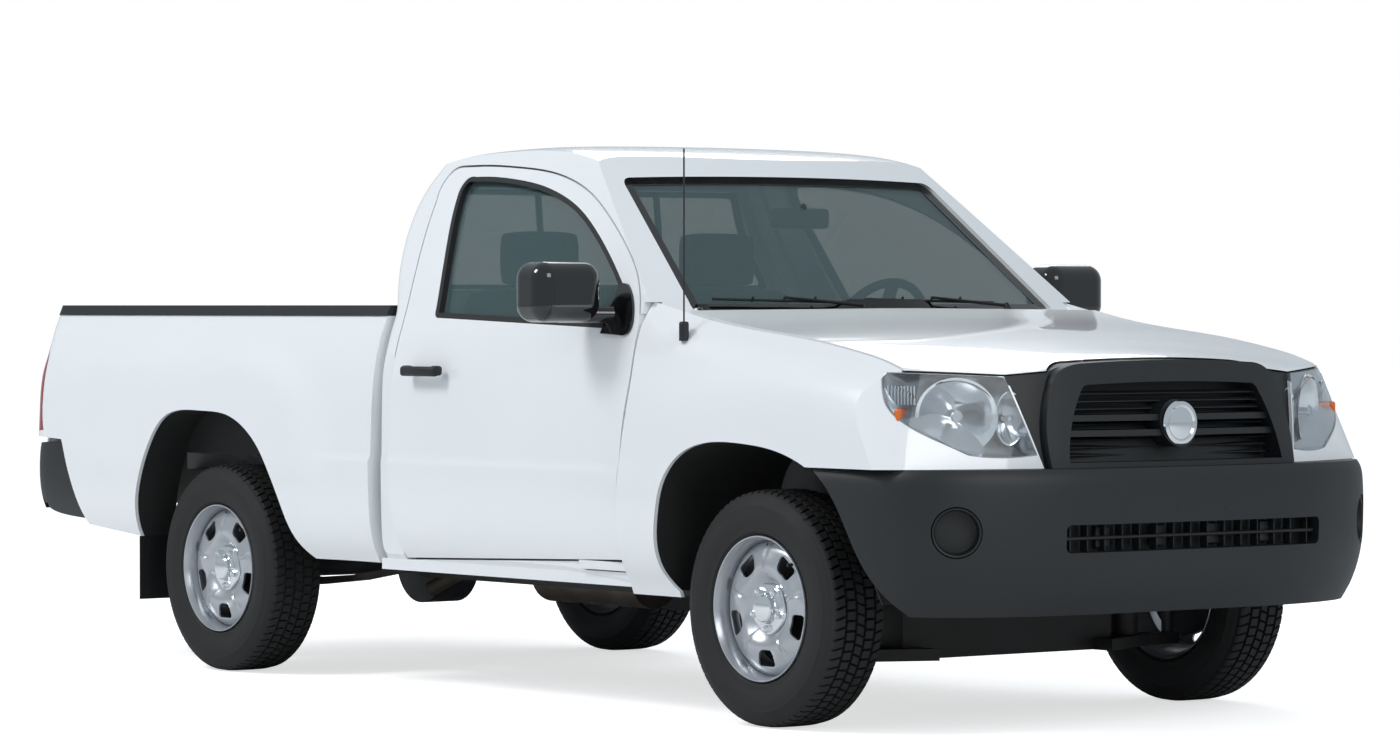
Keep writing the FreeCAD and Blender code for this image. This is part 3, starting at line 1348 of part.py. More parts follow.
def plate(name, role, corners, start, depth):
    """Padded outline; it runs from a start value along the world axis that its plane faces."""
    body = doc.addObject("PartDesign::Body", name)
    sketch = sketched(body, role, corners, f"{name}_outline")
    pad = body.newObject("PartDesign::Pad", f"{name}_pad")
    pad.Profile = sketch
    pad.Reversed = role == "XZ_Plane"
    pad.setExpression("Length", depth.formula)
    axis = {"XY_Plane": "z", "XZ_Plane": "y", "YZ_Plane": "x"}[role]
    body.setExpression(f"Placement.Base.{axis}", start.formula)
    return body


def turned(name, corners, x, y, z):
    """Body of revolution about its own Y axis; corners are radius and width."""
    body = doc.addObject("PartDesign::Body", name)
    sketch = sketched(body, "XY_Plane", corners, f"{name}_outline")
    turn = body.newObject("PartDesign::Revolution", f"{name}_turn")
    turn.Profile = sketch
    turn.ReferenceAxis = (sketch, ["V_Axis"])
    turn.Angle = 360
    bind_place(body, x, y, z)
    return body


# Tailgate and rear bumper

tail = inside_rear - cell.tailgate_thickness
gate_low = cell.tailgate_bottom_height
gate_high = cell.bed_rail_height + cell.rail_cap_height / 2
gate = plate("tailgate_panel", "YZ_Plane", [
    (-tailgate_half, gate_low), (tailgate_half, gate_low), (tailgate_half, gate_high),
    (-tailgate_half, gate_high)], tail, cell.tailgate_thickness)
press_half = tailgate_half - cell.tailgate_thickness * 1.5
press_sketch = sketched(gate, "YZ_Plane", [
    (-press_half, gate_low + cell.tailgate_thickness * 2.4), (press_half, gate_low + cell.tailgate_thickness * 2.4),
    (press_half, gate_high - cell.tailgate_thickness * 1.8), (-press_half, gate_high - cell.tailgate_thickness * 1.8)],
    "tailgate_press_outline")
press = gate.newObject("PartDesign::Pocket", "tailgate_press")
press.Profile = press_sketch
press.Reversed = True
press.setExpression("Length", (cell.skin_wall / 2).formula)
gate.Tip = press
doc.recompute()
gate_edges = [f"Edge{number}" for number, edge in enumerate(press.Shape.Edges, 1)
              if edge.BoundBox.YLength > float(tailgate_half)
              and abs(edge.BoundBox.XMax) < size.shaft_gap
              and (edge.BoundBox.ZMax > float(gate_high) - 1 or edge.BoundBox.ZMin < float(gate_low) + 1)]
round_over = gate.newObject("PartDesign::Fillet", "tailgate_round")
round_over.Base = (press, gate_edges)
round_over.setExpression("Radius", (cell.tailgate_thickness / 4).formula)
gate.Tip = round_over
gate_pivot_z = gate_low + cell.tailgate_pivot_radius + cell.panel_gap
pin_reach = cell.tailgate_gap + cell.bedside_wall / 3
gate_pins = [
    rod("gate_pin_right", "y", cell.tailgate_pivot_radius, pin_reach + cell.tailgate_gap,
        tail + cell.tailgate_thickness / 2, -tailgate_half - pin_reach, gate_pivot_z),
    rod("gate_pin_left", "y", cell.tailgate_pivot_radius, pin_reach + cell.tailgate_gap,
        tail + cell.tailgate_thickness / 2, tailgate_half - cell.tailgate_gap, gate_pivot_z)]
joined("tailgate", [gate] + gate_pins)

REAR_BUMPER_PLAN_SHARES = [
    (-1.000, 0.000), (-1.000, 0.250), (-1.000, 0.500), (-0.997, 0.700), (-0.992, 0.850), (-0.978, 0.930),
    (-0.952, 0.975), (-0.920, 0.990), (-0.880, 0.998), (-0.840, 1.003), (-0.790, 1.006)]
REAR_BUMPER_SECTION_SHARES = [
    (0.450, 0.020), (0.428, 0.006), (0.400, 0.000), (0.350, 0.000), (0.310, 0.012), (0.280, 0.040), (0.255, 0.075)]
REAR_BUMPER_LOW_SHARES = [(-0.868, 0.270), (-0.911, 0.284), (-0.950, 0.294), (-1.020, 0.298)]
REAR_BUMPER_HIGH_SHARES = [(-1.020, 0.420), (-0.975, 0.427)]


def rear_bumper_face(back):
    plan = mirrored_row(REAR_BUMPER_PLAN_SHARES)
    last = len(REAR_BUMPER_PLAN_SHARES) - 1
    poles = []
    for z_share, tuck_share in REAR_BUMPER_SECTION_SHARES:
        row = []
        for index, (x, y) in enumerate(plan):
            turn = (index - last) / last * math.pi / 2
            tuck = tuck_share * half_width + back
            row.append(point(x, y, z_share) + Vector(tuck * math.cos(turn) ** 2, -tuck * math.sin(turn), 0))
        poles.append(row)
    return skin(poles).extrude(Vector(size.wheelbase / 4, 0, 0))


def rear_bumper_form():
    edge = bumper_edge(0)
    low = [Vector(a * half_length, 0, b * height) for a, b in REAR_BUMPER_LOW_SHARES]
    high = [Vector(a * half_length, 0, b * height) for a, b in REAR_BUMPER_HIGH_SHARES]
    runs = [edge, [edge[-1], low[0]], low, [low[-1], high[0]], high, [high[-1], edge[0]]]
    outline = across(side_face(runs), -size.overall_width, size.overall_width)
    wall_back = size.bumper_wall
    outer = rear_bumper_face(0).common(outline)
    step = size.rear_bumper_step_height
    gate_room = float(tailgate_half) + size.tailgate_gap
    middle = box((-half_length - size.cut_overrun, tail_x), (-gate_room, gate_room), (step, height))
    inside = box(
        (tail_x - size.panel_gap, half_length), (-half_width + size.skin_wall * 3, half_width - size.skin_wall * 3),
        (0, height))
    shell = outer.cut([rear_bumper_face(wall_back), inside])
    pad = outer.common(box(
        (-half_length, tail_x - size.panel_gap), (-gate_room, gate_room), (step - wall_back, step)))
    rail_end = -half_length + size.rail_rear_setback - size.seat_gap
    arms = [outer.common(box(
        (-half_length, rail_end), (low_y, low_y + size.rail_width),
        (size.rail_bottom_height + size.rail_kick_height, step - wall_back)))
        for low_y in (size.rail_offset - size.rail_width / 2, -size.rail_offset - size.rail_width / 2)]
    hole = Part.makeCylinder(
        size.ball_hole_radius, height, Vector(-half_length + size.rear_bumper_depth / 3, 0, step / 2))
    return one_solid(shell.fuse([pad] + arms).cut([middle, hole]))


rear_bumper = rear_bumper_form()
post_clear = wall(bed_side, size.bedside_wall / 2 - size.panel_gap, size.overall_width).common(box(
    (tail_x - size.panel_gap, bed_inside_rear_x), (-size.overall_width, -size.bed_inside_width / 2), (0, height)))
rear_bumper = one_solid(rear_bumper.cut([post_clear, mirrored(post_clear)]))
formed("rear_bumper", rear_bumper)

# Frame: two rails with a kick over the rear axle, and cross members

rail_low = cell.rail_bottom_height
rail_top = rail_low + cell.rail_depth
front_rise = cell.rail_front_rise
kick = cell.rail_kick_height
rail_front_x = cell.overall_length / 2 - cell.rail_front_setback
rail_rear_x = -cell.overall_length / 2 + cell.rail_rear_setback
rise_x = firewall_x + front_rise * 2 + cell.panel_gap
kick_x = rear_axle + cell.tyre_radius
frame_parts = []
for name, sign in SIDES.items():
    inner = cell.rail_offset * sign - cell.rail_width / 2
    frame_parts.append(plate(f"rail_{name}", "XZ_Plane", [
        (rail_rear_x, rail_low + kick), (kick_x, rail_low + kick), (kick_x + kick, rail_low),
        (rise_x - front_rise, rail_low), (rise_x + front_rise, rail_low + front_rise),
        (rail_front_x, rail_low + front_rise), (rail_front_x, rail_top + front_rise),
        (rise_x, rail_top + front_rise), (rise_x - front_rise * 2, rail_top), (kick_x + kick * 1.3, rail_top),
        (kick_x + kick * 0.3, rail_top + kick), (rail_rear_x, rail_top + kick)], inner, cell.rail_width))
    for index, share in enumerate((0.08, 0.48, 0.9)):
        spot = cab_back + (rise_x - cab_back) * share
        frame_parts.append(rod(
            f"cab_mount_{name}_{index}", "z", cell.rail_width / 2, floor_low - rail_top - cell.seat_gap,
            spot - front_rise * (2 if share > 0.5 else 0), cell.rail_offset * sign, rail_top))
cross_inner = cell.rail_offset - cell.rail_width / 2
member = cell.crossmember_depth
engine_rear = firewall_x + cell.panel_gap * 10
cross_places = [
    (rail_front_x - member * 2, rail_low + front_rise, member),
    (engine_rear - cell.gearbox_length - member * 1.5, rail_low + front_rise, member * 0.7),
    (rear_axle - cell.tyre_radius - member, rail_low + kick, member), (rail_rear_x, rail_low + kick, member)]
for index, (x, z, depth) in enumerate(cross_places):
    frame_parts.append(block(
        f"crossmember_{index}", (x, x + member), (-cross_inner, cross_inner), (z, z + depth)))
beam_x = rail_front_x
frame_parts.append(block(
    "bumper_beam", (beam_x, beam_x + member / 2), (-cell.rail_offset * 1.3, cell.rail_offset * 1.3),
    (rail_low + front_rise, rail_low + front_rise + member)))
joined("ladder_frame", frame_parts)

# Engine and gearbox as plain blocks, exhaust and tank

engine_low = rail_low + front_rise + cell.panel_gap * 4
joined("powertrain", [
    block("engine", (engine_rear, engine_rear + cell.engine_length), (-cell.engine_width / 2, cell.engine_width / 2),
          (engine_low, engine_low + cell.engine_height)),
    block("gearbox", (engine_rear - cell.gearbox_length, engine_rear),
          (-cell.gearbox_width / 2, cell.gearbox_width / 2),
          (floor_low - cell.seat_gap - cell.gearbox_height, floor_low - cell.seat_gap)),
    block("engine_mount", (engine_rear + cell.engine_length / 3, engine_rear + cell.engine_length / 2),
          (-cross_inner + cell.seat_gap, cross_inner - cell.seat_gap),
          (engine_low, rail_top + front_rise)),
])


def tube(points, radius):
    """Bent round bar along straight runs joined by tangent arcs."""
    edges = []
    start = points[0]
    for before, corner, after in zip(points, points[1:], points[2:]):
        reach = min((corner - before).Length, (after - corner).Length) * 0.4
        enter = corner + (before - corner).normalize() * reach
        leave = corner + (after - corner).normalize() * reach
        middle = (enter + leave) / 2
        turn = (enter - corner).getAngle(leave - corner) / 2
        bend = reach * math.tan(turn)
        centre = corner + (middle - corner).normalize() * (reach / math.cos(turn))
        peak = centre + (corner - centre).normalize() * bend
        edges.append(Part.LineSegment(start, enter).toShape())
        edges.append(Part.Arc(enter, peak, leave).toShape())
        start = leave
    edges.append(Part.LineSegment(start, points[-1]).toShape())
    path = Part.Wire(edges)
    ring = Part.Wire(Part.Circle(points[0], points[1] - points[0], radius).toShape())
    return path.makePipeShell([ring], True, False)


exhaust_z = size.rail_bottom_height + size.exhaust_radius
engine_rear_x = float(engine_rear)
exhaust_y = -size.gearbox_width / 2 - size.exhaust_radius * 2
muffler_x = door_rear_x + size.muffler_length
muffler_y = exhaust_y - size.muffler_radius / 3
exhaust_pipe = tube([
    Vector(engine_rear_x + size.engine_length / 3, -size.engine_width / 2 + size.exhaust_radius * 2,
           float(engine_low) - size.seat_gap - size.exhaust_radius),
    Vector(engine_rear_x, exhaust_y, exhaust_z), Vector(muffler_x, exhaust_y, exhaust_z)], size.exhaust_radius)
muffler = Part.makeCylinder(
    size.muffler_radius, size.muffler_length,
    Vector(muffler_x - size.muffler_length, muffler_y, exhaust_z), Vector(1, 0, 0))
exhaust_strap = box(
    (muffler_x - size.muffler_length / 2, muffler_x - size.muffler_length / 2 + size.rail_width),
    (-size.rail_offset + size.rail_width / 2 + size.seat_gap, exhaust_y), (exhaust_z, exhaust_z + size.exhaust_radius))
tail_pipe = tube([
    Vector(muffler_x - size.muffler_length, muffler_y, exhaust_z),
    Vector(rear_axle_x + size.tyre_radius * 1.6, muffler_y - size.exhaust_radius, exhaust_z),
    Vector(rear_axle_x + size.tyre_radius * 1.1, muffler_y - size.exhaust_radius * 2,
           exhaust_z - size.exhaust_radius * 3)], size.exhaust_radius)
formed("exhaust", exhaust_pipe.fuse([muffler, exhaust_strap, tail_pipe]))

tank_x = kick_x + kick * 1.4
joined("fuel_tank", [
    block("tank", (tank_x, tank_x + cell.tank_length), (cell.tank_offset, cell.tank_offset + cell.tank_width),
          (rail_top - cell.tank_height - cell.seat_gap, rail_top - cell.seat_gap)),
    block("tank_strap", (tank_x + cell.tank_length / 2, tank_x + cell.tank_length / 2 + cell.rail_width),
          (cell.tank_offset, cross_inner - cell.seat_gap), (rail_top - cell.skin_wall, rail_top - cell.seat_gap)),
])

# Wheels and tyres: the wheel's corners are radius and place across

rim_half = cell.rim_width / 2
tyre_half = cell.tyre_width / 2
bead = cell.rim_radius - cell.rim_wall * 2
disc_out = rim_half - cell.disc_inset
TYRE_CORNERS = [
    (cell.rim_radius + cell.seat_gap, -rim_half + cell.rim_wall),
    (cell.tyre_radius - cell.tyre_shoulder * 2, -tyre_half),
    (cell.tyre_radius, -tyre_half + cell.tyre_shoulder),
    (cell.tyre_radius, tyre_half - cell.tyre_shoulder),
    (cell.tyre_radius - cell.tyre_shoulder * 2, tyre_half),
    (cell.rim_radius + cell.seat_gap, rim_half - cell.rim_wall),
]
RIM_CORNERS = [
    (cell.rim_radius, rim_half), (cell.rim_radius, rim_half - cell.rim_wall), (bead, rim_half - cell.rim_wall * 3),
    (bead, rim_half - cell.rim_wall * 5), (cell.rim_drop_radius + cell.rim_wall, disc_out - cell.rim_wall * 3),
    (cell.rim_drop_radius + cell.rim_wall, -rim_half + cell.rim_wall * 6), (bead, -rim_half + cell.rim_wall * 4),
    (cell.rim_radius, -rim_half + cell.rim_wall), (cell.rim_radius, -rim_half),
    (bead - cell.rim_wall, -rim_half + cell.rim_wall), (bead - cell.rim_wall, -rim_half + cell.rim_wall * 3),
    (cell.rim_drop_radius, -rim_half + cell.rim_wall * 6), (cell.rim_drop_radius, disc_out - cell.disc_wall * 2),
    (cell.wheel_window_circle, disc_out - cell.disc_wall), (cell.hub_radius * 1.5, disc_out - cell.disc_wall * 2),
    (cell.hub_radius, disc_out - cell.hub_length), (cell.spindle_radius + cell.shaft_gap, disc_out - cell.hub_length),
    (cell.spindle_radius + cell.shaft_gap, disc_out - cell.disc_wall),
    (ZERO, disc_out - cell.disc_wall), (ZERO, rim_half - cell.rim_wall),
    (cell.hub_radius * 0.5, rim_half - cell.rim_wall), (cell.hub_radius * 0.6, disc_out),
    (cell.hub_radius * 1.3, disc_out - cell.disc_wall), (cell.wheel_window_circle, disc_out),
    (cell.rim_drop_radius, disc_out - cell.disc_wall), (bead - cell.rim_wall, disc_out - cell.disc_wall / 3),
    (bead - cell.rim_wall, rim_half - cell.rim_wall),
]
WINDOW_CORNER_SHARES = [
    (-0.80, -0.85), (0.80, -0.85), (1.15, -0.55), (1.60, 0.45), (1.38, 0.85), (-1.38, 0.85), (-1.60, 0.45),
    (-1.15, -0.55)]


def wheel(name, x, y):
    """Steel wheel with five windows; its outer face looks along +Y."""
    body = turned(name, RIM_CORNERS, x, y, cell.tyre_radius)
    window = sketched(body, "XZ_Plane", [
        (cell.wheel_window_radius * a, -cell.wheel_window_circle - cell.wheel_window_radius * b)
        for a, b in WINDOW_CORNER_SHARES], f"{name}_window_outline")
    pocket = body.newObject("PartDesign::Pocket", f"{name}_window")
    pocket.Profile = window
    pocket.Type = "ThroughAll"
    pocket.Midplane = True
    pattern = body.newObject("PartDesign::PolarPattern", f"{name}_windows")
    pattern.Originals = [pocket]
    pattern.Axis = (origin_plane(body, "Y_Axis"), [""])
    pattern.Angle = 360
    pattern.setExpression("Occurrences", "Sizes.wheel_spoke_count")
    body.Tip = pattern
    return body


def half_turned(body):
    """Turns a body about the upright axis, so that its outer face looks along -Y."""
    body.Placement = FreeCAD.Placement(body.Placement.Base, Rotation(Vector(0, 0, 1), 180))
    return body


for end, axle_x in (("front", front_axle), ("rear", rear_axle)):
    for side, sign in SIDES.items():
        place_y = cell.track / 2 * sign
        tyre = turned(f"tyre_{end}_{side}_body", TYRE_CORNERS, axle_x, place_y, cell.tyre_radius)
        keep(f"tyre_{end}_{side}", tyre)
        rim = wheel(f"wheel_{end}_{side}_body", axle_x, place_y)
        keep(f"wheel_{end}_{side}", rim if side == "left" else half_turned(rim))

spare_x = rear_axle - cell.tyre_radius * 2.2
spare = turned("spare_body", [
    (ZERO, -tyre_half * 0.9), (cell.tyre_radius - cell.tyre_shoulder, -tyre_half * 0.9),
    (cell.tyre_radius, -tyre_half * 0.6), (cell.tyre_radius, tyre_half * 0.6),
    (cell.tyre_radius - cell.tyre_shoulder, tyre_half * 0.9), (ZERO, tyre_half * 0.9)],
    spare_x, ZERO, rail_low + kick - tyre_half * 0.9 - cell.seat_gap)
spare.Placement = FreeCAD.Placement(spare.Placement.Base, Rotation(Vector(1, 0, 0), 90))
keep("spare_tyre", spare)

# Rear axle with brake drums and shaft, leaf springs

hub_inner = cell.track / 2 + disc_out - cell.hub_length
spindle_end = cell.track / 2 + disc_out - cell.disc_wall - cell.seat_gap
drum_outer = hub_inner - cell.running_gap
axle_parts = [
    rod("axle_tube", "y", cell.axle_tube_radius, drum_outer * 2, rear_axle, -drum_outer, cell.tyre_radius),
    rod("axle_spindles", "y", cell.spindle_radius, spindle_end * 2, rear_axle, -spindle_end, cell.tyre_radius),
    rod("differential", "y", cell.differential_radius, cell.differential_radius, rear_axle,
        -cell.differential_radius / 2, cell.tyre_radius),
    rod("propshaft", "x", cell.propshaft_radius, engine_rear - cell.gearbox_length - cell.seat_gap - rear_axle,
        rear_axle, ZERO, cell.tyre_radius),
]
for name, sign in SIDES.items():
    low = drum_outer * sign if sign < 0 else drum_outer - cell.brake_disc_wall * 2
    axle_parts.append(rod(
        f"brake_drum_{name}", "y", cell.brake_disc_radius, cell.brake_disc_wall * 2, rear_axle, low,
        cell.tyre_radius))
joined("rear_axle", axle_parts)

spring_low = cell.tyre_radius - cell.axle_tube_radius - cell.seat_gap - cell.spring_thickness
spring_front = rear_axle + cell.spring_length * 0.52
spring_rear = rear_axle - cell.spring_length * 0.48
spring_rise = cell.spring_thickness * 2
spring_parts = []
for name, sign in SIDES.items():
    start = cell.spring_offset * sign - cell.spring_width / 2
    spring_parts.append(plate(f"leaf_{name}", "XZ_Plane", [
        (spring_rear, spring_low + spring_rise * 2), (rear_axle - cell.spring_length * 0.25, spring_low + spring_rise / 2),
        (rear_axle - cell.spring_width, spring_low), (rear_axle + cell.spring_width, spring_low),
        (rear_axle + cell.spring_length * 0.25, spring_low + spring_rise / 2), (spring_front, spring_low + spring_rise * 1.6),
        (spring_front, spring_low + spring_rise * 1.6 + cell.spring_thickness / 2),
        (rear_axle + cell.spring_length * 0.25, spring_low + spring_rise / 2 + cell.spring_thickness * 0.8),
        (rear_axle + cell.spring_width, spring_low + cell.spring_thickness),
        (rear_axle - cell.spring_width, spring_low + cell.spring_thickness),
        (rear_axle - cell.spring_length * 0.25, spring_low + spring_rise / 2 + cell.spring_thickness * 0.8),
        (spring_rear, spring_low + spring_rise * 2 + cell.spring_thickness / 2)], start, cell.spring_width))
    inner, outer = sorted(
        ((cell.rail_offset + cell.rail_width / 2 + cell.seat_gap) * sign,
         (cell.spring_offset + cell.spring_width / 2) * sign), key=float)
    spring_parts.append(block(
        f"spring_hanger_{name}", (spring_front - cell.spring_thickness, spring_front + cell.spring_thickness * 2),
        (inner, outer), (spring_low + spring_rise * 1.6, rail_top)))
    spring_parts.append(block(
        f"spring_shackle_{name}", (spring_rear - cell.spring_thickness, spring_rear + cell.spring_thickness),
        (inner, outer), (spring_low + spring_rise * 2, rail_low + kick + cell.rail_width)))
joined("leaf_springs", spring_parts)

# Front suspension, knuckles, brake discs and tie rods

arm_low_z = cell.tyre_radius - cell.knuckle_height / 2
arm_high_z = cell.tyre_radius + cell.knuckle_height / 2
root = cell.lower_arm_root
reach = cell.steer_axis_offset
arm_tip = cell.kingpin_radius * 1.5
rail_outer = cell.rail_offset + cell.rail_width / 2
front_parts = [
    block("front_crossmember", (front_axle - cell.crossmember_depth, front_axle + cell.crossmember_depth),
          (-root - cell.arm_thickness * 2, root + cell.arm_thickness * 2),
          (arm_low_z - cell.arm_thickness, rail_low + front_rise - cell.seat_gap)),
    rod("steering_rack", "y", cell.rack_radius, root * 2, front_axle - cell.rack_setback, -root,
        arm_low_z + cell.arm_thickness * 2),
    block("rack_clamps", (front_axle - cell.rack_setback, front_axle), (-root / 2, root / 2),
          (arm_low_z + cell.arm_thickness, arm_low_z + cell.arm_thickness * 2)),
]
for name, sign in SIDES.items():
    for level, (z, root, wide, depth) in enumerate((
            (arm_low_z - cell.arm_thickness - cell.seat_gap, cell.lower_arm_root, cell.lower_arm_spread,
             cell.arm_thickness),
            (arm_high_z + cell.seat_gap, rail_outer + cell.seat_gap, cell.upper_arm_spread,
             cell.arm_thickness / 2))):
        front_parts.append(plate(f"arm_{name}_{level}", "XY_Plane", [
            (front_axle - wide, root * sign), (front_axle - arm_tip * 1.2, (reach - arm_tip * 4) * sign),
            (front_axle - arm_tip, (reach + arm_tip) * sign), (front_axle + arm_tip, (reach + arm_tip) * sign),
            (front_axle + arm_tip * 1.2, (reach - arm_tip * 4) * sign), (front_axle + wide, root * sign)],
            z, depth))
    coil_foot = arm_low_z - cell.arm_thickness / 2
    front_parts.append(rod(
        f"coil_{name}", "z", cell.coil_radius, cell.coil_top_height - coil_foot, front_axle,
        cell.coil_offset * sign, coil_foot))
    inner, outer = sorted(
        ((cell.rail_offset + cell.rail_width / 2 + cell.seat_gap) * sign, (cell.coil_offset + cell.coil_radius) * sign),
        key=float)
    front_parts.append(block(
        f"coil_tower_{name}", (front_axle - cell.coil_radius, front_axle + cell.coil_radius), (inner, outer),
        (rail_top + front_rise - cell.crossmember_depth, rail_top + front_rise)))
joined("front_suspension", front_parts)

steer_arm_top = cell.tyre_radius - cell.kingpin_radius * 1.5
for name, sign in SIDES.items():
    post_y = reach * sign
    spindle_low = post_y if sign > 0 else -spindle_end
    disc_low = (drum_outer - cell.brake_disc_wall) if sign > 0 else -drum_outer
    joined(f"knuckle_{name}", [
        rod(f"kingpin_{name}", "z", cell.kingpin_radius, cell.knuckle_height, front_axle, post_y, arm_low_z),
        rod(f"spindle_{name}", "y", cell.spindle_radius, spindle_end - cell.steer_axis_offset, front_axle,
            spindle_low, cell.tyre_radius),
        rod(f"brake_disc_{name}", "y", cell.brake_disc_radius, cell.brake_disc_wall, front_axle, disc_low,
            cell.tyre_radius),
        block(f"steer_arm_{name}", (front_axle - cell.steer_arm_length - cell.kingpin_radius, front_axle),
              (post_y - cell.kingpin_radius, post_y + cell.kingpin_radius),
              (steer_arm_top - cell.kingpin_radius * 2, steer_arm_top)),
    ])
keep("tie_rod", rod(
    "tie_bar", "y", cell.tie_rod_radius, reach * 2, front_axle - cell.steer_arm_length, -reach,
    steer_arm_top + cell.seat_gap + cell.tie_rod_radius))

# Wheel arch liners, cowl panel, mud flaps and antenna


def liner(shares, axle_x, reach_x, top, inner):
    """Right-hand band just above a wheel opening, from an inner width outwards."""
    rooms = [
        across(wheel_room(shares, axle_x, reach_x, top, gap), -size.overall_width, -inner)
        for gap in (size.liner_gap + size.liner_wall, size.liner_gap)]
    foot = shares[0][1] * top
    return rooms[0].cut(rooms[1]).common(
        box((-half_length, half_length), (-size.overall_width, 0), (foot, height)))


FRONT_LINER_FOOT_SHARES = [(-0.940, 0.460), (-0.985, 0.530)]
front_liner = liner(
    FRONT_LINER_FOOT_SHARES + FRONT_ARCH_SHARES[2:-1] + BUMPER_ARCH_SHARES[:-1], front_axle_x, size.front_arch_reach, size.front_arch_top,
    size.liner_inner_offset)
bumper_zone = box(
    (front_axle_x + size.front_arch_reach * BUMPER_ARCH_SHARES[0][0] - size.panel_gap, half_length),
    (-size.overall_width, 0), (0, size.bumper_top_height + size.panel_gap))
front_liner = front_liner.common(wall(fender_side, size.skin_wall + size.glass_gap, size.overall_width))
front_liner = front_liner.cut(bumper_zone.cut(bumper_form(size.bumper_wall + size.glass_gap)))
rear_liner = liner(
    REAR_ARCH_SHARES, rear_axle_x, size.rear_arch_reach, size.rear_arch_top, inner_wall_y)
rear_liner = rear_liner.common(wall(bed_side, size.skin_wall + size.glass_gap, size.overall_width))
liners = [one_solid(front_liner), one_solid(rear_liner)]
arch_liners = doc.addObject("Part::Feature", "arch_liners")
arch_liners.Shape = Part.makeCompound(liners + [mirrored(shape) for shape in liners])
keep("arch_liners", arch_liners)

cowl_low_z = size.cowl_height + size.seat_gap
cowl_panel = box(
    (float(firewall_x), front_axle_x), (-size.hood_arm_offset + 2 * size.skin_wall, size.hood_arm_offset - 2 * size.skin_wall),
    (cowl_low_z, size.cowl_height + size.cowl_panel_thickness))
hood_room = hood_outline().translated(Vector(-size.panel_gap, 0, 0))
formed("cowl_panel", cowl_panel.cut([hood_room, windshield_form(size.pillar_wall)]))

flap_front = rear_axle - cell.rear_arch_reach * 1.022 - (cell.liner_gap + cell.liner_wall) * 1.1
flap_low = cell.mud_flap_bottom
flap_parts = []
for name, sign in SIDES.items():
    inner, outer = sorted(
        ((cell.mud_flap_offset - cell.mud_flap_width) * sign, cell.mud_flap_offset * sign), key=float)
    flap_parts.append(block(
        f"mud_flap_{name}", (flap_front - cell.mud_flap_wall, flap_front), (inner, outer),
        (cell.mud_flap_bottom, cell.rear_arch_top * 0.502 - cell.seat_gap)))
flaps = doc.addObject("Part::Compound", "mud_flaps")
flaps.Links = flap_parts
keep("mud_flaps", flaps)

antenna_x = front_axle_x - size.antenna_setback
antenna_top = size.antenna_height
antenna_low = size.cowl_height - size.pillar_wall
antenna = Part.makeCylinder(
    size.antenna_base_radius, size.pillar_wall, Vector(antenna_x, -size.antenna_offset, antenna_low))
antenna = antenna.makeFillet(size.antenna_base_radius / 2, [
    edge for edge in antenna.Edges if edge.BoundBox.ZMin > antenna_low + size.skin_wall])
antenna = antenna.fuse(Part.makeCylinder(
    size.antenna_radius, antenna_top - antenna_low, Vector(antenna_x, -size.antenna_offset, antenna_low)))
antenna = antenna.cut(wall(fender_side, -size.seat_gap, size.overall_width))
formed("antenna", one_solid(antenna))

# Seat, headrests, dashboard and steering wheel

seat_low = cell.floor_height + cell.seat_riser + cell.seat_gap
CUSHION_SHARES = [(0.00, 0.00), (0.93, 0.00), (1.00, 0.65), (0.97, 0.95), (0.90, 1.00), (0.00, 0.75)]
keep("seat_cushion", plate("cushion", "XZ_Plane", [
    (seat_rear + cell.seat_depth * a, seat_low + cell.seat_base_thickness * b) for a, b in CUSHION_SHARES],
    -cell.seat_width / 2, cell.seat_width))
BACK_SHARES = [(0.26, 0.45), (0.145, 1.00), (0.010, 1.00), (-0.030, 0.60)]
back_foot = [
    (seat_rear, seat_low + cell.seat_base_thickness * 0.75 + cell.seat_gap),
    (seat_rear + cell.seat_depth * 0.3, seat_low + cell.seat_base_thickness * (0.75 + 0.25 / 3) + cell.seat_gap)]
keep("seat_back", plate("backrest", "XZ_Plane", back_foot + [
    (seat_rear + cell.seat_depth * a, seat_low + cell.seat_back_height * b) for a, b in BACK_SHARES],
    -cell.seat_width / 2, cell.seat_width))
rest_low = seat_low + cell.seat_back_height + cell.seat_gap
rest_parts = []
for name, sign in SIDES.items():
    middle = cell.headrest_offset * sign
    rest_parts.append(block(
        f"headrest_{name}", (seat_rear, seat_rear + cell.headrest_thickness),
        (middle - cell.headrest_width / 2, middle + cell.headrest_width / 2),
        (rest_low, rest_low + cell.headrest_height)))
headrests = doc.addObject("Part::Compound", "headrests")
headrests.Links = rest_parts
keep("headrests", headrests)

DASH_SHARES = [
    (0.00, 0.05), (0.00, 1.00), (0.45, 1.00), (0.85, 0.90), (1.00, 0.70), (0.95, 0.40), (0.65, 0.15), (0.35, 0.02)]
dash_front = firewall_x - cell.floor_wall - cell.seat_gap
dash_half = post_out - cell.pillar_wall - cell.seat_gap
dash = plate("dash_body", "XZ_Plane", [
    (dash_front - cell.dash_depth * a, cell.cowl_height - cell.dash_height * (1 - b)) for a, b in DASH_SHARES],
    -dash_half, dash_half * 2)
steering_x = front_axle - cell.steering_setback
steering_turn = Rotation(Vector(0, 1, 0), -size.steering_tilt)
column = doc.addObject("Part::Cylinder", "steering_column")
column.setExpression("Radius", cell.column_radius.formula)
column.setExpression("Height", (cell.dash_depth * 0.7).formula)
column_start = steering_turn.multVec(
    Vector(0, 0, -size.dash_depth * 0.7 - size.steering_rim_radius - size.seat_gap))
column.Placement = FreeCAD.Placement(Vector(
    float(steering_x) + column_start.x, size.steering_offset, size.steering_height + column_start.z), steering_turn)
joined("dashboard", [dash, column])

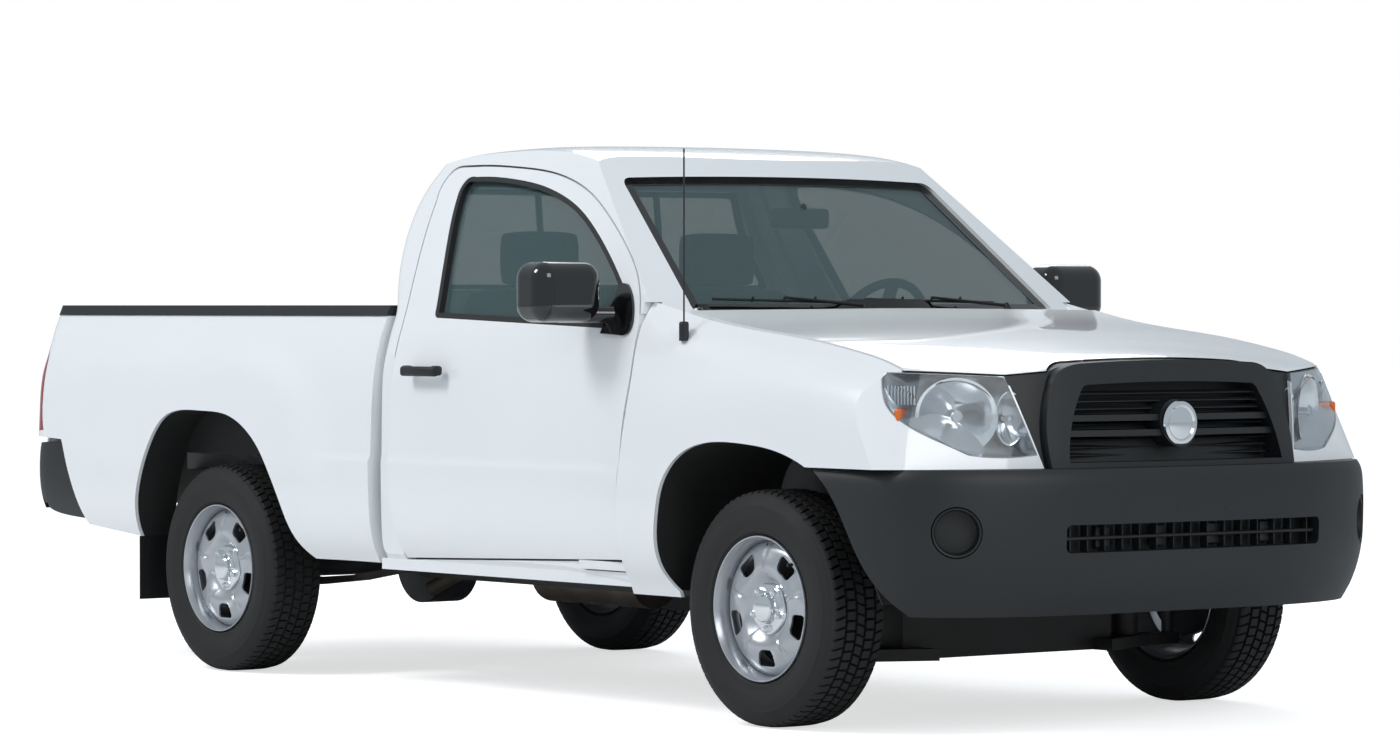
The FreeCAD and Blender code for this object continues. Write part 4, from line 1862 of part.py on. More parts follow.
rim = doc.addObject("Part::Torus", "steering_rim")
rim.setExpression("Radius1", (cell.steering_wheel_radius - cell.steering_rim_radius).formula)
rim.setExpression("Radius2", cell.steering_rim_radius.formula)
wheel_parts = [rim, rod(
    "steering_hub", "z", cell.steering_hub_radius, cell.steering_rim_radius * 2, ZERO, ZERO,
    -cell.steering_rim_radius)]
for index, turn in enumerate((0, 90, 180)):
    spoke = doc.addObject("Part::Box", f"steering_spoke_{index}")
    spoke.setExpression("Length", (cell.steering_wheel_radius - cell.steering_rim_radius).formula)
    spoke.setExpression("Width", (cell.steering_hub_radius * 0.8).formula)
    spoke.setExpression("Height", (cell.steering_rim_radius * 0.8).formula)
    spoke_turn = Rotation(Vector(0, 0, 1), turn - 90)
    start = spoke_turn.multVec(Vector(0, -size.steering_hub_radius * 0.4, 0))
    spoke.Placement = FreeCAD.Placement(start - Vector(0, 0, size.steering_rim_radius * 0.4), spoke_turn)
    wheel_parts.append(spoke)
steering = joined("steering_wheel", wheel_parts)
steering.Placement = FreeCAD.Placement(Vector(), steering_turn)
bind_place(steering, steering_x, cell.steering_offset, cell.steering_height)


# Checks, then one file for each sub-part

doc.recompute()
for feature in doc.Objects:
    if "Invalid" in feature.State or "Error" in feature.State:
        raise RuntimeError(f"{feature.Label} did not build: {feature.State}")
for label, feature in pieces.items():
    if feature.Shape.isNull() or not feature.Shape.isValid() or not feature.Shape.Solids:
        raise RuntimeError(f"{label} has no valid shape")
os.makedirs("parts", exist_ok=True)
for label, feature in pieces.items():
    feature.Shape.exportStep(f"parts/{label}.step")
print(len(pieces), "sub-parts")
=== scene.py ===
import math
import bmesh
import bpy
from mathutils import Matrix, Vector
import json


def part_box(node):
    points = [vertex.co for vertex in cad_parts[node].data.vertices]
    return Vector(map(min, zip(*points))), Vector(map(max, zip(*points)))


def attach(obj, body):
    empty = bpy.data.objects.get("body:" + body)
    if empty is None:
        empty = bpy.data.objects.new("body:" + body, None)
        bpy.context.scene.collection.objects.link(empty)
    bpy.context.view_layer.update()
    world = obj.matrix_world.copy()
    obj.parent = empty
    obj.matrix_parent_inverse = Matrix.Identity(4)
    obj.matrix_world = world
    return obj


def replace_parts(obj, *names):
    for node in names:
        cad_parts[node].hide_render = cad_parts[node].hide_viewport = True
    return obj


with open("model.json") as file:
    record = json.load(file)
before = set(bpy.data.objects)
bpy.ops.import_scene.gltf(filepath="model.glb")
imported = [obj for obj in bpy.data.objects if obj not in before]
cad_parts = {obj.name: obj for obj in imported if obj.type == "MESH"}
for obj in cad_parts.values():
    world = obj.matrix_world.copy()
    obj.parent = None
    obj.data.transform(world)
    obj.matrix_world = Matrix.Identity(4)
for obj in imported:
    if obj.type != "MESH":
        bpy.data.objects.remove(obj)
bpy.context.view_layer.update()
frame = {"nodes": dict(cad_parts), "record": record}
nodes = frame["nodes"]
scene = bpy.context.scene
MM = 0.001
SIDES = {"right": -1, "left": 1}


# Materials

def linear(code):
    """Linear colour of an sRGB hex code."""
    parts = [int(code[i:i + 2], 16) / 255 for i in (0, 2, 4)]
    return [v / 12.92 if v <= 0.04045 else ((v + 0.055) / 1.055) ** 2.4 for v in parts] + [1.0]


def add(tree, kind, settings, links):
    """Adds a node with its settings and its links."""
    node = tree.nodes.new(kind)
    for name, value in settings.items():
        if isinstance(name, int) or name in node.inputs:
            node.inputs[name].default_value = value
        else:
            setattr(node, name, value)
    for name, source in links.items():
        tree.links.new(source, node.inputs[name])
    return node


def grain_height(tree, kind, grain, place):
    """Height of a fine pattern: leather cells, woven threads or plain noise."""
    if kind == "LEATHER":
        cells = add(tree, "ShaderNodeTexVoronoi", {"Scale": 1 / grain}, {"Vector": place})
        return cells.outputs["Distance"]
    if kind == "WEAVE":
        threads_per_grain = 0.32
        threads = [
            add(tree, "ShaderNodeTexWave", {
                "Scale": threads_per_grain / grain, "Distortion": 0.4, "Detail": 1.0, "bands_direction": axis
            }, {"Vector": place})
            for axis in ("Y", "Z")]
        crossed = add(tree, "ShaderNodeMath", {"operation": "MULTIPLY"}, {
            0: threads[0].outputs["Fac"], 1: threads[1].outputs["Fac"]})
        return crossed.outputs["Value"]
    noise = add(tree, "ShaderNodeTexNoise", {"Scale": 1 / grain, "Detail": 3.0}, {"Vector": place})
    return noise.outputs["Fac"]


def finish(name, colour, second, rough, grain, depth, spread=0.06, patches=0.25, kind="NOISE", **shader):
    """Surface with a grain of a real size in metres: relief, two tones in patches, uneven roughness."""
    material = bpy.data.materials.new(name)
    material.use_nodes = True
    tree = material.node_tree
    base = tree.nodes["Principled BSDF"]
    place = add(tree, "ShaderNodeTexCoord", {}, {}).outputs["Object"]
    fine = grain_height(tree, kind, grain, place)
    clouds = add(tree, "ShaderNodeTexNoise", {"Scale": 1 / patches, "Detail": 4.0}, {"Vector": place})
    broad = clouds.outputs["Fac"]
    tones = add(tree, "ShaderNodeMix", {"data_type": "RGBA"}, {"Factor": broad})
    tones.inputs[6].default_value = linear(colour)
    tones.inputs[7].default_value = linear(second)
    tree.links.new(tones.outputs[2], base.inputs["Base Color"])
    uneven = add(tree, "ShaderNodeMapRange", {
        "To Min": max(rough - spread, 0.0), "To Max": min(rough + spread, 1.0)}, {"Value": broad})
    tree.links.new(uneven.outputs["Result"], base.inputs["Roughness"])
    relief = add(tree, "ShaderNodeBump", {"Strength": 1.0, "Distance": depth}, {"Height": fine})
    tree.links.new(relief.outputs["Normal"], base.inputs["Normal"])
    for socket, value in shader.items():
        base.inputs[socket.replace("_", " ")].default_value = value
    return material


finishes = {
    # White solid paint under clear lacquer, with a faint orange peel
    "body_paint": finish(
        "white_lacquered_paint", "F4F6F8", "EEF1F4", 0.30, 4 * MM, 0.004 * MM, spread=0.03, patches=0.6,
        Coat_Weight=1.0, Coat_Roughness=0.04),
    # Bumper and grille plastic with a moulded grain
    "black_plastic": finish(
        "grained_black_plastic", "15181A", "1D2022", 0.50, 1.4 * MM, 0.12 * MM, spread=0.08, patches=0.3),
    # Smooth glossy black mirror caps
    "mirror_plastic": finish(
        "gloss_black_plastic", "0B0C0E", "121416", 0.10, 6 * MM, 0.004 * MM, spread=0.02, patches=0.3,
        Coat_Weight=0.6, Coat_Roughness=0.03),
    # Blue-green tinted safety glass
    "window_glass": finish(
        "tinted_safety_glass", "3E585A", "466365", 0.02, 60 * MM, 0.002 * MM, spread=0.01, patches=0.5,
        Alpha=0.50, Specular_IOR_Level=1.0),
    # Clear polycarbonate lamp lens
    "lamp_lens": finish(
        "clear_lamp_lens", "FBFDFE", "F6F9FB", 0.02, 30 * MM, 0.002 * MM, spread=0.01, patches=0.4,
        Transmission_Weight=1.0, IOR=1.25),
    # Red tail lamp lens with fine prisms
    "tail_lens": finish(
        "red_lamp_lens", "A40F14", "8A0B10", 0.12, 3 * MM, 0.3 * MM, spread=0.04, patches=0.2, kind="LEATHER",
        Coat_Weight=1.0, Coat_Roughness=0.02),
    # Black chassis paint with road dust
    "frame_steel": finish(
        "dusty_black_chassis_paint", "1B1B1C", "34312D", 0.60, 3 * MM, 0.2 * MM, spread=0.12, patches=0.12),
    # Sand-cast alloy and iron
    "cast_metal": finish(
        "sand_cast_metal", "55575A", "3E3E3D", 0.58, 1.6 * MM, 0.3 * MM, spread=0.1, patches=0.1,
        Metallic=0.8),
    # Aluminised exhaust tube with heat stains
    "exhaust_steel": finish(
        "stained_exhaust_steel", "77716A", "54473B", 0.48, 2 * MM, 0.1 * MM, spread=0.12, patches=0.09,
        Metallic=0.9),
    # Silver wheel paint under lacquer
    "wheel_silver": finish(
        "silver_wheel_paint", "C3C6CB", "B4B8BD", 0.30, 0.8 * MM, 0.02 * MM, spread=0.05, patches=0.15,
        Metallic=0.75, Coat_Weight=0.5, Coat_Roughness=0.1),
    # Tyre rubber, slightly dusty
    "tyre_rubber": finish(
        "tyre_rubber", "161617", "222222", 0.72, 1.2 * MM, 0.2 * MM, spread=0.1, patches=0.08),
    # Window seals, wipers and strips
    "black_rubber": finish(
        "black_seal_rubber", "101112", "171819", 0.62, 1.5 * MM, 0.1 * MM, spread=0.08, patches=0.2),
    # Woven grey seat cloth
    "seat_fabric": finish(
        "woven_grey_seat_cloth", "4E5154", "3F4245", 0.88, 2.2 * MM, 0.6 * MM, spread=0.05, patches=0.25,
        kind="WEAVE", Sheen_Weight=0.35),
    # Charcoal dash and trim with leather grain
    "dash_plastic": finish(
        "grained_charcoal_trim", "3A3C3E", "323436", 0.62, 1.8 * MM, 0.3 * MM, spread=0.06, patches=0.3,
        kind="LEATHER"),
}
# Vacuum-coated reflectors and bright caps
chrome = finish(
    "bright_chrome", "E9ECEF", "DFE3E7", 0.07, 20 * MM, 0.004 * MM, spread=0.03, patches=0.2, Metallic=1.0)
# Amber bulb cover
amber = finish(
    "amber_lamp_plastic", "E8710A", "D96005", 0.18, 4 * MM, 0.4 * MM, spread=0.05, patches=0.1,
    kind="LEATHER", Coat_Weight=0.8)
# Satin metal-coated lamp housing and bulbs
housing = finish(
    "satin_lamp_housing", "D3D7DA", "C3C7CB", 0.24, 5 * MM, 0.03 * MM, spread=0.06, patches=0.1, Metallic=0.7)
# Black print along the windshield's edge
edge_print = finish(
    "black_glass_print", "08090A", "0D0E0F", 0.12, 8 * MM, 0.01 * MM, spread=0.03, patches=0.2,
    Coat_Weight=0.5)
# Sprayed underbody sealant, a soft black pebble, on the arch liners; on the bed's white walls it is painted
# shade
sealant_and_painted_shade = finish(
    "black_sealant_and_painted_shade", "151617", "222120", 0.70, 6 * MM, 0.6 * MM, spread=0.1, patches=0.2)

SLOTS = {material: slot for slot, material in finishes.items()}
SLOTS.update({
    chrome: "wheel_silver", amber: "tail_lens", housing: "cast_metal", edge_print: "black_rubber",
    sealant_and_painted_shade: "black_rubber"})

for part in frame["record"]["subparts"]:
    mesh = nodes[part["node"]].data
    mesh.materials.clear()
    mesh.materials.append(finishes[part["material_slot"]])
nodes["arch_liners"].data.materials[0] = sealant_and_painted_shade

# Painted shade: the bed's white walls beside the wheels and its underside lie in deep shade, and they take
# the black finish
BED_MIDDLE = 0.40
bed = nodes["cargo_box"].data
bed.materials.append(sealant_and_painted_shade)
for face in bed.polygons:
    beside_wheels = abs(face.center.y) > BED_MIDDLE and face.normal.z < 0.6
    outwards = face.normal.y * face.center.y > 0.02 * abs(face.center.y)
    face.material_index = int((beside_wheels and outwards) or face.normal.z < -0.5)


# Helpers for pieces

def placed(name, mesh, body):
    """Object of a mesh, riding a body."""
    obj = bpy.data.objects.new(name, mesh)
    scene.collection.objects.link(obj)
    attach(obj, body)
    return obj


def piece(name, bm, material, body, angle=32):
    """Object of a finished bmesh, shaded smooth up to an angle, riding a body."""
    bmesh.ops.recalc_face_normals(bm, faces=bm.faces)
    for face in bm.faces:
        face.smooth = True
    mesh = bpy.data.meshes.new(name)
    bm.to_mesh(mesh)
    bm.free()
    mesh.set_sharp_from_angle(angle=math.radians(angle))
    mesh.materials.append(material)
    return placed(name, mesh, body)


def turned(profile, steps, matrix):
    """Closed spin of a profile of (axial, radius) points about the Y axis, put in place by a matrix."""
    weld = 0.02 * MM
    bm = bmesh.new()
    verts = [bm.verts.new((radius, axial, 0)) for axial, radius in profile]
    edges = [bm.edges.new(pair) for pair in zip(verts, verts[1:])]
    bmesh.ops.spin(
        bm, geom=verts + edges, cent=(0, 0, 0), axis=(0, 1, 0), dvec=(0, 0, 0), angle=2 * math.pi,
        steps=steps, use_merge=True, use_duplicate=False)
    bmesh.ops.remove_doubles(bm, verts=bm.verts, dist=weld)
    bmesh.ops.transform(bm, matrix=matrix, verts=bm.verts)
    return bm


def rounded(bm, centre, span, radius, segments=3, turn=None):
    """Block with rounded edges."""
    made = bmesh.ops.create_cube(bm, size=1.0)["verts"]
    bmesh.ops.scale(bm, vec=span, verts=made)
    edges = list(dict.fromkeys(edge for vert in made for edge in vert.link_edges))
    bevel = bmesh.ops.bevel(
        bm, geom=edges, offset=radius, segments=segments, affect="EDGES", profile=0.5, material=-1)
    verts = [vert for face in bevel["faces"] for vert in face.verts]
    verts = list(dict.fromkeys(verts + [vert for vert in made if vert.is_valid]))
    if turn is not None:
        bmesh.ops.transform(bm, matrix=turn, verts=verts)
    bmesh.ops.translate(bm, vec=centre, verts=verts)
    return verts


def bar(bm, start, end, radius, segments=16, end_radius=None):
    """Round bar between two points, or a cone where the end has its own radius."""
    start, end = Vector(start), Vector(end)
    along = end - start
    made = bmesh.ops.create_cone(
        bm, cap_ends=True, cap_tris=False, segments=segments, radius1=radius,
        radius2=radius if end_radius is None else end_radius, depth=along.length)["verts"]
    turn = Vector((0, 0, 1)).rotation_difference(along).to_matrix().to_4x4()
    bmesh.ops.transform(bm, matrix=Matrix.Translation((start + end) / 2) @ turn, verts=made)


def copied(node, keep):
    """Mesh of a CAD node merged by distance, with the faces that a test keeps."""
    weld = 0.05 * MM
    bm = bmesh.new()
    bm.from_mesh(nodes[node].data)
    bmesh.ops.remove_doubles(bm, verts=bm.verts, dist=weld)
    bm.normal_update()
    gone = [face for face in bm.faces if not keep(face)]
    bmesh.ops.delete(bm, geom=gone, context="FACES")
    return bm


def rim_band(bm, width, rise, depth):
    """Turns an open sheet into a solid band along its border."""
    made = bmesh.ops.inset_region(
        bm, faces=bm.faces, thickness=width, use_boundary=True, use_even_offset=True)
    band = set(made["faces"])
    bmesh.ops.delete(bm, geom=[face for face in bm.faces if face not in band], context="FACES")
    bmesh.ops.translate(bm, vec=rise, verts=bm.verts)
    grown = bmesh.ops.extrude_face_region(bm, geom=bm.faces[:], use_keep_orig=True)
    fresh = [item for item in grown["geom"] if isinstance(item, bmesh.types.BMVert)]
    bmesh.ops.translate(bm, vec=depth, verts=fresh)
    return bm


def beside(point, sign):
    """A point given for the left side, on the side of the sign."""
    x, y, z = point
    return (x, y * sign, z)


# Tyres: section turned round the axle, tread blocks raised from the groove floor

HUB_HEIGHT, HALF_TRACK = 0.332, 0.770
AXLES = {"front": 1.548, "rear": -1.232}
# Half of the section as (across, radius): the air side, the bead, the sidewall and the tread floor
TYRE_HALF = [
    (0.0000, 0.3190), (0.0600, 0.3165), (0.0860, 0.2950), (0.0880, 0.2500), (0.0700, 0.2140),
    (0.0720, 0.2035), (0.0820, 0.2032), (0.0895, 0.2075), (0.0935, 0.2130), (0.0965, 0.2160),
    (0.0962, 0.2195), (0.1000, 0.2320), (0.1045, 0.2470), (0.1066, 0.2620), (0.1060, 0.2780),
    (0.1046, 0.2850), (0.1050, 0.2872), (0.1030, 0.2925), (0.1012, 0.2945), (0.0975, 0.3060),
    (0.0925, 0.3140), (0.0860, 0.3205), (0.0800, 0.3238), (0.0555, 0.3245), (0.0465, 0.3245),
    (0.0205, 0.3245), (0.0115, 0.3245)]
OUTER_GROOVE, INNER_GROOVE = (0.0465, 0.0555), (0.0115, 0.0205)
TREAD_EDGE, TREAD_RADIUS = 0.086, 0.3195
BLOCK_HEIGHT, BLOCK_DROP = 0.0074, 0.0052
BLOCK_LEAN, BLOCK_WAVE = 0.022, 4.2
PITCHES, PER_PITCH = 72, 4


def on_tread_block(face):
    """True for a face of the tread floor that a block stands on: each rib starts one step later."""
    spot = face.calc_center_median()
    radius, away = math.hypot(spot.x, spot.z), abs(spot.y)
    in_groove = any(low < away < high for low, high in (OUTER_GROOVE, INNER_GROOVE))
    if radius < TREAD_RADIUS or away > TREAD_EDGE or in_groove:
        return False
    rib = 0 if away > OUTER_GROOVE[0] else 2 if away > INNER_GROOVE[0] else 1
    shift = rib if spot.y > 0 else 2 - rib
    turn = math.atan2(spot.z, spot.x) / (2 * math.pi) % 1
    return int(turn * PITCHES * PER_PITCH + shift) % PER_PITCH > 0


def tyre_form(matrix):
    """Tyre with raised tread blocks that lean in a wave across the tread."""
    section = TYRE_HALF + [(-across, radius) for across, radius in TYRE_HALF[:0:-1]] + [TYRE_HALF[0]]
    bm = turned(section, PITCHES * PER_PITCH, Matrix.Identity(4))
    grown = bmesh.ops.extrude_face_region(bm, geom=[face for face in bm.faces if on_tread_block(face)])
    for vert in grown["geom"]:
        if isinstance(vert, bmesh.types.BMVert):
            radial = Vector((vert.co.x, 0, vert.co.z)).normalized()
            vert.co += radial * (BLOCK_HEIGHT - BLOCK_DROP * (abs(vert.co.y) / TREAD_EDGE) ** 4)
    for vert in bm.verts:
        if math.hypot(vert.co.x, vert.co.z) > TREAD_RADIUS:
            lean = BLOCK_LEAN * math.sin(vert.co.y / TREAD_EDGE * BLOCK_WAVE)
            vert.co = Matrix.Rotation(lean, 3, "Y") @ vert.co
    bmesh.ops.transform(bm, matrix=matrix, verts=bm.verts)
    return bm


def at_wheel(end, side):
    """Puts a form drawn about the axle, outside towards -Y, at a wheel."""
    sign = SIDES[side]
    flip = Matrix.Identity(4) if sign < 0 else Matrix.Rotation(math.pi, 4, "Z")
    return Matrix.Translation((AXLES[end], sign * HALF_TRACK, HUB_HEIGHT)) @ flip


for end in AXLES:
    for side in SIDES:
        tyre = piece(f"tread_tyre_{end}_{side}", tyre_form(at_wheel(end, side)), finishes["tyre_rubber"],
                     f"wheel_{end}_{side}", angle=28)
        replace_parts(tyre, f"tyre_{end}_{side}")


# Wheels: a dished disc with five windows and grooved spokes, rim, cap and nuts

SPOKES = 5
DISC_WALL, DISC_STEPS = 0.006, 150
DISC_FRONT = [
    (-0.046, 0.0300), (-0.049, 0.0480), (-0.052, 0.0700), (-0.062, 0.0860), (-0.070, 0.0980),
    (-0.0725, 0.1080), (-0.0725, 0.1180), (-0.0710, 0.1290), (-0.0690, 0.1400), (-0.0670, 0.1500),
    (-0.0650, 0.1600), (-0.0620, 0.1700), (-0.0560, 0.1780), (-0.0500, 0.1850), (-0.0440, 0.1880)]
SPOKE_RADIUS, SPOKE_REACH, SPOKE_RISE, SPOKE_DIP = 0.128, 0.030, 0.0085, 0.0060
RIM_OUT = [
    (-0.0950, 0.2030), (-0.0948, 0.2000), (-0.0900, 0.1975), (-0.0850, 0.1955), (-0.0800, 0.1930),
    (-0.0620, 0.1900), (-0.0440, 0.1885), (-0.0300, 0.1700), (0.0100, 0.1680), (0.0350, 0.1860),
    (0.0800, 0.1900), (0.0880, 0.1960), (0.0950, 0.2030), (0.0930, 0.2045), (0.0840, 0.1985),
    (0.0780, 0.1940), (0.0350, 0.1900), (0.0080, 0.1725), (-0.0280, 0.1745), (-0.0440, 0.1925),
    (-0.0780, 0.1960), (-0.0850, 0.1990), (-0.0905, 0.2045), (-0.0950, 0.2030)]
CAP_OUT = [
    (-0.050, 0.0), (-0.0500, 0.0715), (-0.0560, 0.0745), (-0.0600, 0.0715), (-0.0610, 0.0600),
    (-0.0630, 0.0440), (-0.0700, 0.0390), (-0.0800, 0.0375), (-0.0835, 0.0340), (-0.0850, 0.0200),
    (-0.0855, 0.0)]
CAP_LOBE_RADIUS, CAP_LOBE_SHARE = 0.055, 0.075
NUT_CIRCLE_RADIUS = 0.05715


def wheel_disc():
    """Disc whose five spokes stand proud, each with a narrow groove along its middle."""
    back = [(axial + DISC_WALL, radius) for axial, radius in reversed(DISC_FRONT)]
    bm = turned(DISC_FRONT + back + [DISC_FRONT[0]], DISC_STEPS, Matrix.Identity(4))
    for vert in bm.verts:
        radius = math.hypot(vert.co.x, vert.co.z)
        turn = SPOKES * (math.atan2(vert.co.z, vert.co.x) + math.pi / 2)
        swell = math.exp(-((radius - SPOKE_RADIUS) / SPOKE_REACH) ** 2)
        lobe = math.cos(turn / 2)
        dip = math.exp(-3 * (lobe ** -2 - 1)) if abs(lobe) > 0.1 else 1.0
        vert.co.y -= SPOKE_RISE * swell * (0.5 - 0.5 * math.cos(turn)) ** 2
        vert.co.y += SPOKE_DIP * swell * dip
    return bm


def window_cutters():
    """Five rounded windows and five small notches through the disc."""
    window, window_radius, narrow_share, corner = (0.078, 0.12, 0.046), 0.1385, 0.70, 0.014
    notch, notch_radius, notch_corner, outwards = (0.030, 0.12, 0.008), 0.1795, 0.003, -0.06
    bm = bmesh.new()
    for index in range(SPOKES):
        before = set(bm.verts)
        made = bmesh.ops.create_cube(bm, size=1.0)["verts"]
        bmesh.ops.scale(bm, vec=window, verts=made)
        for vert in made:
            if vert.co.z > 0:
                vert.co.x *= narrow_share
        bmesh.ops.translate(bm, vec=(0, outwards, -window_radius), verts=made)
        edges = list(dict.fromkeys(
            edge for vert in made for edge in vert.link_edges
            if abs((edge.verts[0].co - edge.verts[1].co).normalized().y) > 0.9))
        bmesh.ops.bevel(bm, geom=edges, offset=corner, segments=5, affect="EDGES", profile=0.5, material=-1)
        rounded(bm, (0.0, outwards, notch_radius), notch, notch_corner, 2)
        fresh = [vert for vert in bm.verts if vert not in before]
        turn = Matrix.Rotation(2 * math.pi * index / SPOKES, 4, "Y")
        bmesh.ops.transform(bm, matrix=turn, verts=fresh)
    bmesh.ops.recalc_face_normals(bm, faces=bm.faces)
    return bm


def disc_pattern():
    """Mesh of the wheel disc, its windows cut and its edges softened."""
    cutters = window_cutters()
    cutter_mesh = bpy.data.meshes.new("window_cutter")
    cutters.to_mesh(cutter_mesh)
    cutters.free()
    cutter = bpy.data.objects.new("window_cutter", cutter_mesh)
    scene.collection.objects.link(cutter)
    pattern = piece("disc_pattern", wheel_disc(), finishes["wheel_silver"], "chassis")
    cut = pattern.modifiers.new("windows", "BOOLEAN")
    cut.object, cut.operation, cut.solver = cutter, "DIFFERENCE", "EXACT"
    soften = pattern.modifiers.new("soften", "BEVEL")
    soften.width, soften.segments = 0.0022, 2
    soften.limit_method, soften.angle_limit = "ANGLE", math.radians(45)
    graph = bpy.context.evaluated_depsgraph_get()
    mesh = bpy.data.meshes.new_from_object(pattern.evaluated_get(graph))
    bpy.data.objects.remove(pattern)
    bpy.data.objects.remove(cutter)
    return mesh


def rim_form():
    return turned(RIM_OUT, 96, Matrix.Identity(4))


def cap_form():
    """Lobed plate with a domed middle."""
    bm = turned(CAP_OUT, 100, Matrix.Identity(4))
    for vert in bm.verts:
        if math.hypot(vert.co.x, vert.co.z) > CAP_LOBE_RADIUS:
            turn = math.atan2(vert.co.z, vert.co.x)
            scale = 1 - CAP_LOBE_SHARE * (0.5 + 0.5 * math.cos(SPOKES * (turn - math.pi / 2)))
            vert.co.x *= scale
            vert.co.z *= scale
    return bm


def nuts_form():
    """Lug nuts, each with a washer face, a hexagon and a cone."""
    bm = bmesh.new()
    for index in range(SPOKES):
        turn = 2 * math.pi * (index + 0.5) / SPOKES + math.pi / 2
        x, z = NUT_CIRCLE_RADIUS * math.cos(turn), NUT_CIRCLE_RADIUS * math.sin(turn)
        for start, end, radius, segments, tip in (
                (-0.055, -0.074, 0.0105, 6, 0.0105), (-0.074, -0.0795, 0.0090, 12, 0.0045),
                (-0.0585, -0.0610, 0.0128, 20, 0.0128)):
            bar(bm, (x, start, z), (x, end, z), radius, segments, tip)
    return bm


def valve_form():
    """Tyre valve with its cap."""
    foot, neck, tip = (0.118, -0.048, 0.130), (0.114, -0.078, 0.126), (0.1135, -0.084, 0.1255)
    bm = bmesh.new()
    bar(bm, foot, neck, 0.0045, 12)
    bar(bm, neck, tip, 0.0055, 12)
    return bm


disc_mesh = disc_pattern()
for end in AXLES:
    for side in SIDES:
        body = f"wheel_{end}_{side}"
        spot = at_wheel(end, side)
        mesh = disc_mesh.copy()
        mesh.transform(spot)
        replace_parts(placed(f"wheel_disc_{end}_{side}", mesh, body), body)
        for name, form, material in (
                ("rim", rim_form, finishes["wheel_silver"]), ("hub_cap", cap_form, chrome),
                ("lug_nuts", nuts_form, chrome), ("valve", valve_form, finishes["black_rubber"])):
            bm = form()
            bmesh.ops.transform(bm, matrix=spot, verts=bm.verts)
            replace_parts(piece(f"{name}_{end}_{side}", bm, material, body), body)


# Headlamps: lens, housing, reflectors, bulbs, amber cover and prisms. Points are those of the left side

LENS_WALL, HOUSING_WALL, DISH_WALL = 0.003, 0.002, 0.001
MAIN_CENTRE, MAIN_RADII, MAIN_TURN, MAIN_DEPTH = (2.158, 0.668, 0.874), (0.108, 0.100), 30, 0.060
INNER_CENTRE, INNER_RADII, INNER_TURN, INNER_DEPTH = (2.216, 0.528, 0.868), (0.040, 0.070), 18, 0.045
# Bulbs and their holders as start, end, radius and radius at the end
BULBS = [
    ((2.122, 0.647, 0.874), MAIN_CENTRE, 0.011, 0.009),
    (MAIN_CENTRE, (2.163, 0.671, 0.874), 0.017, 0.012),
    ((2.180, 0.516, 0.868), (2.214, 0.527, 0.868), 0.009, 0.006)]
AMBER_CENTRE, AMBER_SPAN, AMBER_TURN = (2.086, 0.802, 0.862), (0.070, 0.018, 0.072), 62
PRISM_START, PRISM_STEP, PRISM_HEIGHTS, PRISM_COUNT = (2.056, 0.823), (0.0065, -0.0060), (0.906, 0.958), 9


def on_lens(face, sign):
    """True for a face that looks forwards or out of the side."""
    return face.normal.x > 0.12 or face.normal.y * sign > 0.6


def lamp_shell(name, sign, keep, wall, material, angle):
    """One part of the lamp's CAD skin with a wall of its own."""
    bm = copied("headlamps", lambda face: face.calc_center_median().y * sign > 0 and keep(face, sign))
    bmesh.ops.solidify(bm, geom=bm.faces, thickness=wall)
    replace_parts(piece(name, bm, material, "chassis", angle), "headlamps")


def dish(centre, radii, outward, sign, deep):
    """Thin reflector bowl that opens forwards and a little outwards."""
    rings, rim_share = 12, 1.06
    profile = [(0.0, rim_share)]
    profile += [(deep * (1 - (index / rings) ** 2), index / rings) for index in range(rings, 0, -1)]
    turn = math.pi / 2 + math.radians(outward) * sign
    shape = (Matrix.Translation(beside(centre, sign)) @ Matrix.Rotation(turn, 4, "Z")
             @ Matrix.Diagonal((radii[0], 1.0, radii[1], 1.0)))
    bm = turned(profile + [(deep, 0.0)], 48, shape)
    bmesh.ops.solidify(bm, geom=bm.faces, thickness=DISH_WALL)
    return bm


def headlamp(side, sign):
    """All that shows of one headlamp."""
    lamp_shell(f"lamp_lens_{side}", sign, on_lens, LENS_WALL, finishes["lamp_lens"], 50)
    lamp_shell(f"lamp_housing_{side}", sign, lambda face, sign: not on_lens(face, sign), HOUSING_WALL,
               housing, 40)
    main = dish(MAIN_CENTRE, MAIN_RADII, MAIN_TURN, sign, MAIN_DEPTH)
    piece(f"main_reflector_{side}", main, chrome, "chassis", angle=60)
    inner = dish(INNER_CENTRE, INNER_RADII, INNER_TURN, sign, INNER_DEPTH)
    piece(f"inner_reflector_{side}", inner, chrome, "chassis", angle=60)
    bulbs = bmesh.new()
    for start, end, radius, tip in BULBS:
        bar(bulbs, beside(start, sign), beside(end, sign), radius, 24, tip)
    piece(f"lamp_bulbs_{side}", bulbs, housing, "chassis")
    cover = bmesh.new()
    turn = Matrix.Rotation(sign * math.radians(AMBER_TURN), 4, "Z")
    rounded(cover, beside(AMBER_CENTRE, sign), AMBER_SPAN, 0.008, 3, turn)
    piece(f"amber_cover_{side}", cover, amber, "chassis")
    prisms = bmesh.new()
    for index in range(PRISM_COUNT):
        x, y = (start + step * index for start, step in zip(PRISM_START, PRISM_STEP))
        bar(prisms, (x, y * sign, PRISM_HEIGHTS[0]), (x, y * sign, PRISM_HEIGHTS[1]), 0.0028, 10)
    piece(f"lamp_prisms_{side}", prisms, chrome, "chassis")


for side, sign in SIDES.items():
    headlamp(side, sign)


# Glass edges and window mouldings

MOULDING_WIDTH, MOULDING_DEPTH, PRINT_WIDTH, SEAL_WIDTH, SEAL_DEPTH = 0.016, 0.0195, 0.040, 0.020, 0.008

